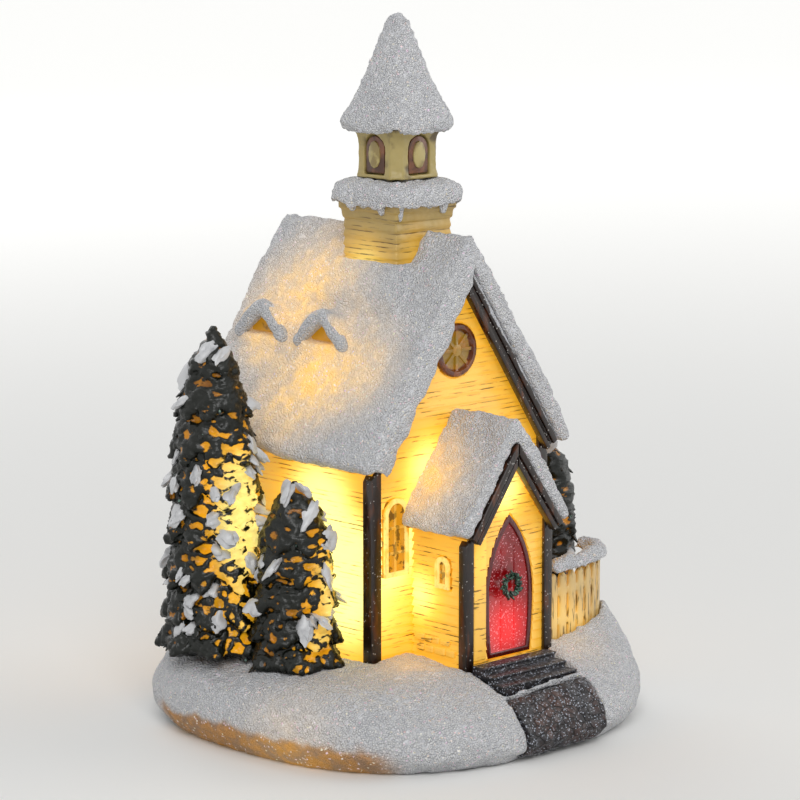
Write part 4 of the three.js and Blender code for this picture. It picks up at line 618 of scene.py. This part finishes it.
def conifer(node, boughs, dabs, lit):
    """A bushy conifer: lit curled resin inside, dark boughs outside and white dabs on their tips."""
    tree = look().tree
    rng = random.Random(tree.seed + boughs)
    low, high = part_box(node)
    centre = (low + high) / 2
    body = cast_copy(node, bark_finish(node + "_resin", lit), 0.42, 1, tree.curl / MM, 2.1, ridged=True)
    for vert in body.data.vertices:
        share = min(1.0, max(0.0, (vert.co.z - low.z) / (high.z - low.z)))
        outward = Vector((vert.co.x - centre.x, vert.co.y - centre.y, 0))
        vert.co += outward.normalized() * tree.fullness * max(0.0, math.sin(math.pi * share**1.9))
    shape = bmesh.new()
    shape.from_mesh(body.data)
    surface = BVHTree.FromBMesh(shape)
    shape.free()

    def outside(spare=0.0):
        """A random place on the tree's surface, more often low down, and the way out from it.

        Of the places that fall on the bright resin, the share `spare` is left out.
        """
        for _ in range(200):
            z = low.z + (high.z - low.z) * (0.04 + 0.92 * rng.random() ** 1.35)
            angle = rng.uniform(0, 2 * math.pi)
            outward = Vector((math.cos(angle), math.sin(angle), 0))
            hit = surface.ray_cast(Vector((centre.x, centre.y, z)) + outward * 0.03, -outward)[0]
            if hit is None:
                continue
            bright = any((hit - Vector(place) * MM).length < radius * MM * 0.75 for place, radius, _ in lit)
            if not bright or rng.random() > spare:
                return hit, outward
        raise RuntimeError(f"{node} has no surface to carry boughs")

    needles = bmesh.new()
    for _ in range(boughs):
        place, outward = outside(0.8)
        reach = tree.bough * rng.uniform(0.55, 1.05)
        root = place - outward * reach * 0.55
        matrix = frame_on(root, outward, rng.uniform(0.15, 0.8), rng.uniform(-0.5, 0.5))
        add_leaf(needles, matrix, reach, reach * 0.34, reach * 0.2, reach * 0.3)
    piece_from(needles, node + "_boughs", bough_finish(node + "_green"))
    snow = bmesh.new()
    for _ in range(dabs):
        place, outward = outside()
        size = Vector((rng.uniform(1.6, 3.0), rng.uniform(0.9, 1.7), rng.uniform(0.6, 0.9))) * MM
        lean = frame_on(place, outward, rng.uniform(0.4, 1.3), rng.uniform(-0.8, 0.8))
        matrix = lean @ Matrix.Rotation(rng.uniform(-0.9, 0.9), 4, "Z")
        add_dab(snow, matrix, size, rng)
    piece_from(snow, node + "_snow", dab_finish(node + "_white"))


def bar(shape, low, high, rounding):
    """A block between two corners in millimetres, with rounded edges."""
    low, high = Vector(low) * MM, Vector(high) * MM
    size = high - low
    made = bmesh.ops.create_cube(shape, size=1)
    for vert in made["verts"]:
        vert.co = (low + high) / 2 + Vector((vert.co.x * size.x, vert.co.y * size.y, vert.co.z * size.z))
    edges = list({edge for vert in made["verts"] for edge in vert.link_edges})
    bmesh.ops.bevel(
        shape,
        geom=edges,
        offset=rounding * MM,
        offset_type="OFFSET",
        segments=3,
        profile=0.5,
        affect="EDGES",
        clamp_overlap=True,
        material=-1,
    )


class CHURCH_OT_snow(Operator):
    """Lays glitter snow on the mound, the roofs, the steeple and the fence"""

    bl_idname = "church.snow"
    bl_label = "Snow"

    def execute(self, context):
        lump = look().snow.lump / MM
        roof_light = [((-8, 17, 84), 22, 0.8), ((-14, 0, 68), 17, 0.7), ((-18, 12, 62), 18, 0.8)]
        roof_light += [((-10, 26, 76), 18, 0.5), ((20, 12, 74), 20, 0.5)]
        dormers_y = (9.5, 26)
        roof_light += [((x, y, 77), 7, -0.5) for x in (-10, 20) for y in dormers_y]
        roof_light += [((x, y, 69), 8, 0.6) for x in (-14, 24) for y in dormers_y]
        porch_light = [((-6, -16, 46), 14, 0.6), ((-4, -12, 50), 12, 0.4)]
        mound_bare = [((-40, 14, 3), 15, 1.0), ((-42, -2, 3), 15, 1.0)]
        mound_bare += [((-39, -17, 3), 14, 1.0), ((-33, -27, 2), 9, 0.8)]
        mound_light = [((-16, -20, 15), 10, 0.35), ((18, -26, 13), 12, 0.25), ((-40, -14, 4), 16, 0.25)]
        mound = cast_copy("snow_base", snow_finish("mound_snow", mound_light, mound_bare), 0.6, 2, lump, 2.2)
        for vert in mound.data.vertices:
            vert.co.z = max(0.0, vert.co.z)
        cast_copy("roof_snow", snow_finish("roof_snow", roof_light), 0.5, 2, lump, 2.2)
        cast_copy("porch_snow", snow_finish("porch_snow", porch_light), 0.4, 2, lump, 1.8)
        plain = snow_finish("plain_snow")
        for node in SLOTS:
            if node.endswith("_dormer"):
                self.lip(node, plain)
        for node in ("steeple_snow_cap", "fence_snow"):
            cast_copy(node, plain, 0.36, 2, lump, 0.9)
        cast_copy("steeple_ledge_snow", plain, 0.36, 2, 1.5 * lump, 1.9)
        self.drips(plain)
        return {"FINISHED"}

    def drips(self, finish):
        """Snow that has run down from the ledge over the tower's corners and sides."""
        count, drops = 16, 5
        low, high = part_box("steeple_ledge_snow")
        middle = (low + high) / 2
        half = (high.x - low.x) / 2 - 1.5 * MM
        rng = random.Random(5)
        shape = bmesh.new()
        for i in range(count):
            angle = 2 * math.pi * (i + rng.uniform(-0.25, 0.25)) / count + math.pi / 4
            reach = min(half / max(abs(math.cos(angle)), abs(math.sin(angle))), 1.2 * half)
            fall = rng.uniform(0.2, 2.0) * MM if i % 4 else 2.6 * MM
            size = rng.uniform(1.1, 1.6) * MM
            side = Vector((math.cos(angle), math.sin(angle), 0)) * reach
            place = Vector((middle.x, middle.y, low.z + 1.2 * MM)) + side
            for step in range(drops):
                down = place - Vector((0, 0, fall * step / (drops - 1)))
                radius = size * (1 - 0.1 * step)
                bmesh.ops.create_icosphere(
                    shape, subdivisions=2, radius=radius, matrix=Matrix.Translation(down)
                )
        piece = piece_from(shape, "ledge_drips", finish)
        melt(piece, 0.32, 4)

    def lip(self, node, finish):
        """A roll of snow along the edge of a dormer's hood."""
        low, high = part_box(node)
        out = -1 if low.x < CHURCH_X else 1
        middle = Vector((low.x if out < 0 else high.x, (low.y + high.y) / 2, low.z))
        half = (high.y - low.y) / 2 + 1.5 * MM
        rise = high.z - low.z + 1.3 * MM
        shape = bmesh.new()
        steps = 30
        for i in range(steps + 1):
            angle = math.pi * i / steps
            wobble = noise.noise(middle * 900 + Vector((i * 0.4, 0, 0)))
            radius = (1.0 + 0.65 * math.sin(angle) + 0.3 * wobble) * MM
            across = math.cos(angle) * half
            up = (1 - abs(math.cos(angle)) ** 1.4) * rise - 0.4 * MM
            place = middle + Vector((out * (1.7 * MM - 0.12 * up), across, up))
            bmesh.ops.create_icosphere(shape, subdivisions=2, radius=radius, matrix=Matrix.Translation(place))
        piece = piece_from(shape, node + "_lip", finish)
        melt(piece, 0.3, 3)


class CHURCH_OT_trees(Operator):
    """Grows the three conifers"""

    bl_idname = "church.trees"
    bl_label = "Conifers"

    def execute(self, context):
        tall = [((-31, 8, 48), 14, 1.2), ((-31, 6, 35), 15, 1.4), ((-35, 4, 21), 12, 1.1)]
        small = [((-24, -9, 33), 11, 1.1), ((-24, -11, 23), 11, 1.2), ((-31, -9, 18), 8, 0.7)]
        conifer("tall_tree", 130, 54, tall)
        conifer("small_tree", 60, 26, small)
        conifer("right_tree", 60, 10, [])
        return {"FINISHED"}


class CHURCH_OT_walls(Operator):
    """Lights the resin walls of the church and the porch"""

    bl_idname = "church.walls"
    bl_label = "Walls"

    def execute(self, context):
        resin = look().resin
        hot = [((-17, -2, 26), 19, 1.25), ((-17, 3, 42), 16, 1.1), ((-10, -11, 36), 12, 1.0)]
        hot += [((-2, -11, 48), 11, 0.9), ((26, 2, 30), 16, 0.6), ((5, 33, 36), 28, 0.35)]
        walls = resin_finish("lit_walls", resin.wall, hot, resin.level)
        porch_hot = [((-7, -13, 26), 9, 0.8), ((3, -25, 46), 9, 0.9), ((13, -13, 28), 9, 0.5)]
        porch = resin_finish("lit_porch", resin.wall, porch_hot, resin.level)
        paint_node("church_walls", walls)
        paint_node("porch_walls", porch)
        amber = resin_finish("amber_resin", resin.amber, (), 0.16, boards=False)
        for node in ("roof_boards", "porch_roof_boards"):
            paint_node(node, amber)
        recess = resin_finish("dormer_resin", tone(0xB08030), (), 0.22, boards=False, streaks=(300, 300, 300))
        for node in SLOTS:
            if node.endswith("_dormer"):
                softened(node, recess)
        return {"FINISHED"}


class CHURCH_OT_steeple(Operator):
    """Finishes the tower, the belfry and its windows"""

    bl_idname = "church.steeple"
    bl_label = "Steeple"

    def execute(self, context):
        resin = look().resin
        glow = [((-3, 6, 83), 10, 0.75), ((3, -3, 86), 8, 0.4), ((11, -3, 87), 7, 0.3)]
        glow += [((13, 8, 84), 10, 0.5), ((5, 13, 84), 10, 0.5)]
        cast_copy("steeple_tower", resin_finish("tower_resin", resin.cream, glow, 0.03), 0.22, 2, 0.1, 2.0)
        stain = {"boards": False, "streaks": (260, 260, 200), "amber": 0.15}
        cast_copy("belfry", resin_finish("belfry_resin", resin.cream, **stain), 0.2, 2, 0.1, 1.6)
        softened("steeple_roof", resin_finish("spire_resin", resin.cream, **stain))
        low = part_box("belfry_front_window")[0]
        reach = STEEPLE_Y - low.y - 0.3 * MM
        board = belfry_window_finish("belfry_boards", reach)
        for side in ("front", "right", "rear", "left"):
            softened(f"belfry_{side}_window", board, 0.08 * MM)
        return {"FINISHED"}


class CHURCH_OT_trim(Operator):
    """Paints the bargeboards, corner boards and posts"""

    bl_idname = "church.trim"
    bl_label = "Dark trim"

    def execute(self, context):
        plain = timber_finish("dark_trim")
        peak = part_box("front_right_bargeboard")[1].z / MM * math.cos(ROOF_PITCH)
        frosted = timber_finish("frosted_trim", (peak - 1.3, peak + 1.0))
        for node, slot in SLOTS.items():
            if slot == "dark_trim":
                main_roof = node.endswith("_bargeboard") and not node.startswith("porch")
                softened(node, frosted if main_roof else plain)
        return {"FINISHED"}


class CHURCH_OT_windows(Operator):
    """Finishes the windows, with their light"""

    bl_idname = "church.windows"
    bl_label = "Windows"

    def execute(self, context):
        church = window_finish("lit_panes", 0.55, (5, 11), (21.6, 22))
        porch = window_finish("porch_panes", 0.5, (3, -18), (10, 99))
        for node, slot in SLOTS.items():
            if slot == "pane":
                softened(node, porch if node.startswith("porch") else church, 0.1 * MM)
        low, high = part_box("round_window")
        rosette = rosette_finish("rosette", (low + high) / 2, low.y)
        softened("round_window", rosette, 0.1 * MM)
        return {"FINISHED"}


class CHURCH_OT_door(Operator):
    """Paints the door and makes its wreath, the steps and the path"""

    bl_idname = "church.door"
    bl_label = "Door, steps and path"

    def execute(self, context):
        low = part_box("door")[0]
        softened("door", door_finish("red_glitter", low.y + 0.45 * MM), 0.12 * MM)
        self.wreath()
        softened("door_steps", stone_finish("step_stone", False), 0.2 * MM)
        cast_copy("stone_path", stone_finish("path_stone", True), 0.35, 1)
        return {"FINISHED"}

    def wreath(self):
        """A ring of small leaves where the CAD wreath is."""
        low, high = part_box("door_wreath")
        centre = (low + high) / 2
        ring = (high.z - low.z) / 2 - 0.7 * MM
        rng = random.Random(3)
        shape = bmesh.new()
        leaves = 110
        for i in range(leaves):
            angle = 2 * math.pi * i / leaves
            spoke = Vector((math.cos(angle), 0, math.sin(angle)))
            turn = Matrix.Rotation(-angle - rng.uniform(0.2, 1.4), 4, "Y")
            side = Matrix.Rotation(rng.uniform(-0.9, 0.5), 4, "Z")
            place = centre + spoke * (ring + rng.uniform(-0.6, 0.35) * MM)
            add_leaf(shape, Matrix.Translation(place) @ turn @ side, 1.1 * MM, 0.42 * MM, 0.34 * MM, 0.0)
        green = leaf_finish("wreath_green")
        piece_from(shape, "wreath_leaves", green, BODY, ["door_wreath"])


class CHURCH_OT_details(Operator):
    """Adds the jamb by the door, the beam's end and the stones low in the porch's wall"""

    bl_idname = "church.details"
    bl_label = "Small castings"

    def execute(self, context):
        resin = look().resin
        glow = [((-3, -26, 34), 9, 0.3)]
        pale = resin_finish("jamb_resin", resin.wall, glow, 0.42, boards=False, depth=0.05)
        jamb = bmesh.new()
        bar(jamb, (-5.7, -26.2, 15.2), (-2.5, -25.3, 38.0), 0.42)
        piece_from(jamb, "door_jamb", pale)
        brown = resin_finish("beam_resin", resin.amber, (), 0.1, boards=False)
        beam = bmesh.new()
        place = Matrix.Translation(Vector((-8.0, -12.6, 39.4)) * MM)
        bmesh.ops.create_cone(
            beam,
            cap_ends=True,
            segments=20,
            radius1=0.95 * MM,
            radius2=0.8 * MM,
            depth=2.4 * MM,
            matrix=place @ Matrix.Rotation(math.pi / 2, 4, "Y"),
        )
        piece_from(beam, "beam_end", brown)
        stones = bmesh.new()
        rng = random.Random(11)
        rows = [(15.6, 17.2), (17.5, 18.9)]
        for row, (low, high) in enumerate(rows):
            y = -22.6 + row * 1.3
            while y < -14.5:
                wide = rng.uniform(1.6, 2.9)
                bar(stones, (-7.45, y, low), (-6.6, y + wide, high - rng.uniform(0, 0.4)), 0.3)
                y += wide + 0.2
        pale = resin_finish("stone_resin", resin.wall, (), 0.4, boards=False)
        piece_from(stones, "wall_stones", pale)
        return {"FINISHED"}


class CHURCH_OT_fence(Operator):
    """Softens and washes the garden fence"""

    bl_idname = "church.fence"
    bl_label = "Fence"

    def execute(self, context):
        glow = [((18, -24, 20), 7, 0.35), ((24, -23, 18), 6, 0.3)]
        upright = (1800, 1800, 240)
        wash = resin_finish("fence_resin", tone(0xD9C68E), glow, 0.08, boards=False, streaks=upright)
        cast_copy("garden_fence", wash, 0.26, 2)
        return {"FINISHED"}


class CHURCH_OT_module(Operator):
    """Finishes the light module under the church"""

    bl_idname = "church.module"
    bl_label = "Light module"

    def execute(self, context):
        paint = look().paint
        black = plastic_finish("module_plastic", paint.plastic)
        for node in ("module_housing", "module_floor", "battery_door"):
            softened(node, black, 0.12 * MM)
        softened("switch_knob", plastic_finish("knob_plastic", tone(0xDCDCD6)), 0.08 * MM)
        steel = metal_finish("bright_steel", (0.66, 0.67, 0.68), 0.3)
        for node in ("coin_cell", "left_module_screw", "right_module_screw", "switch_body"):
            softened(node, steel, 0.1 * MM)
        brass = metal_finish("spring_brass", (0.80, 0.62, 0.32), 0.28)
        for node in ("top_contact", "side_contact"):
            softened(node, brass, 0.06 * MM)
        paint_node("circuit_board", board_finish("solder_mask"))
        paint_node("led_lamp", lens_finish("lamp_lens"))
        return {"FINISHED"}


class CHURCH_OT_studio(Operator):
    """Sets the floor, the soft light and the camera"""

    bl_idname = "church.studio"
    bl_label = "Studio"

    def execute(self, context):
        self.floor(context)
        self.sky(context)
        studio = look().studio
        self.lamp("key_light", studio.key, 0.55, (-0.55, -0.65, 0.75))
        self.lamp("fill_light", studio.fill, 0.7, (0.85, -0.45, 0.45))
        self.lamp("back_light", studio.fill, 0.7, (0.2, 0.9, 0.7))
        self.camera(context)
        context.scene.view_settings.view_transform = "Standard"
        return {"FINISHED"}

    def floor(self, context):
        shape = bmesh.new()
        bmesh.ops.create_grid(shape, x_segments=1, y_segments=1, size=4)
        mesh = bpy.data.meshes.new("floor")
        shape.to_mesh(mesh)
        shape.free()
        floor = bpy.data.objects.new("floor", mesh)
        floor.location.z = -0.05 * MM
        context.scene.collection.objects.link(floor)
        f = Finish("floor_paper", look().studio.floor, 0.8)
        far = f.node("VectorMath", {0: f.place}, output=1, operation="LENGTH")
        f.set("Emission Color", look().studio.floor)
        f.set("Emission Strength", f.times(f.band(far, 0.1, 1.3), 0.62))
        f.bump(f.noise(40, 3), 0.05 * MM)
        mesh.materials.append(f.material)

    def sky(self, context):
        """Even light for the church, and white for the camera, reflections and clear pieces."""
        world = bpy.data.worlds.new("studio_sky")
        context.scene.world = world
        world.use_nodes = True
        nodes, links = world.node_tree.nodes, world.node_tree.links
        nodes.clear()
        path = nodes.new("ShaderNodeLightPath")
        shares = [path.outputs[name] for name in ("Is Camera Ray", "Is Glossy Ray", "Is Transmission Ray")]
        seen = shares[0]
        for share in shares[1:]:
            add = nodes.new("ShaderNodeMath")
            add.operation = "MAXIMUM"
            links.new(seen, add.inputs[0])
            links.new(share, add.inputs[1])
            seen = add.outputs[0]
        kinds = ("Background", "Background", "MixShader")
        even, white, mix = (nodes.new("ShaderNode" + kind) for kind in kinds)
        even.inputs["Strength"].default_value = look().studio.sky
        for background in (even, white):
            background.inputs["Color"].default_value = (1, 1, 1, 1)
        links.new(seen, mix.inputs[0])
        links.new(even.outputs[0], mix.inputs[1])
        links.new(white.outputs[0], mix.inputs[2])
        links.new(mix.outputs[0], nodes.new("ShaderNodeOutputWorld").inputs["Surface"])

    def lamp(self, name, power, size, place):
        data = bpy.data.lights.new(name, "AREA")
        data.energy = power
        data.size = size
        lamp = bpy.data.objects.new(name, data)
        lamp.location = place
        aim = Vector((0, 0, 0.06)) - Vector(place)
        lamp.rotation_euler = aim.to_track_quat("-Z", "Y").to_euler()
        bpy.context.scene.collection.objects.link(lamp)

    def camera(self, context):
        """The photograph's view: 43.8 degrees to the left of the door and 9.7 degrees up."""
        aside, height = 0.65 * MM, 59.27 * MM  # where the camera aims, off the origin
        turn, rise = math.radians(-43.79), math.radians(9.73)
        back = Vector((math.sin(turn) * math.cos(rise), -math.cos(turn) * math.cos(rise), math.sin(rise)))
        right = Vector((math.cos(turn), math.sin(turn), 0))
        up = back.cross(right)
        studio = look().studio
        data = bpy.data.cameras.new("camera")
        data.lens = studio.lens
        data.clip_start = 0.01
        camera = bpy.data.objects.new("camera", data)
        turned = Matrix((right, up, back)).transposed().to_4x4()
        place = right * aside + Vector((0, 0, height)) + back * studio.distance
        camera.matrix_world = Matrix.Translation(place) @ turned
        context.scene.collection.objects.link(camera)
        context.scene.camera = camera


OPERATORS = [
    CHURCH_OT_studio,
    CHURCH_OT_snow,
    CHURCH_OT_walls,
    CHURCH_OT_steeple,
    CHURCH_OT_trim,
    CHURCH_OT_windows,
    CHURCH_OT_door,
    CHURCH_OT_details,
    CHURCH_OT_fence,
    CHURCH_OT_trees,
    CHURCH_OT_module,
]


class CHURCH_PT_sidebar(Panel):
    """Shows a button for each step and the settings for snow, resin, paint, trees and studio, with their
    sizes and colours
    """

    bl_label = "Light-up church"
    bl_idname = "CHURCH_PT_sidebar"
    bl_space_type = "VIEW_3D"
    bl_region_type = "UI"
    bl_category = "Church"

    def draw(self, context):
        for operator in OPERATORS:
            self.layout.operator(operator.bl_idname)
        for group in ("snow", "resin", "paint", "tree", "studio"):
            box = self.layout.box()
            settings = getattr(look(), group)
            for name in settings.__annotations__:
                box.prop(settings, name)


SETTINGS = [SnowSettings, ResinSettings, PaintSettings, TreeSettings, StudioSettings, ChurchSettings]


def register():
    for cls in [*SETTINGS, *OPERATORS, CHURCH_PT_sidebar]:
        bpy.utils.register_class(cls)
    bpy.types.Scene.lit_church = PointerProperty(
        name="Church", description="The church's look", type=ChurchSettings
    )


def unregister():
    del bpy.types.Scene.lit_church
    for cls in reversed([*SETTINGS, *OPERATORS, CHURCH_PT_sidebar]):
        bpy.utils.unregister_class(cls)


def main():
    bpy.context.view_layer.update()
    register()
    for operator in OPERATORS:
        category, name = operator.bl_idname.split(".")
        getattr(getattr(bpy.ops, category), name)()


if __name__ == "__main__":
    main()
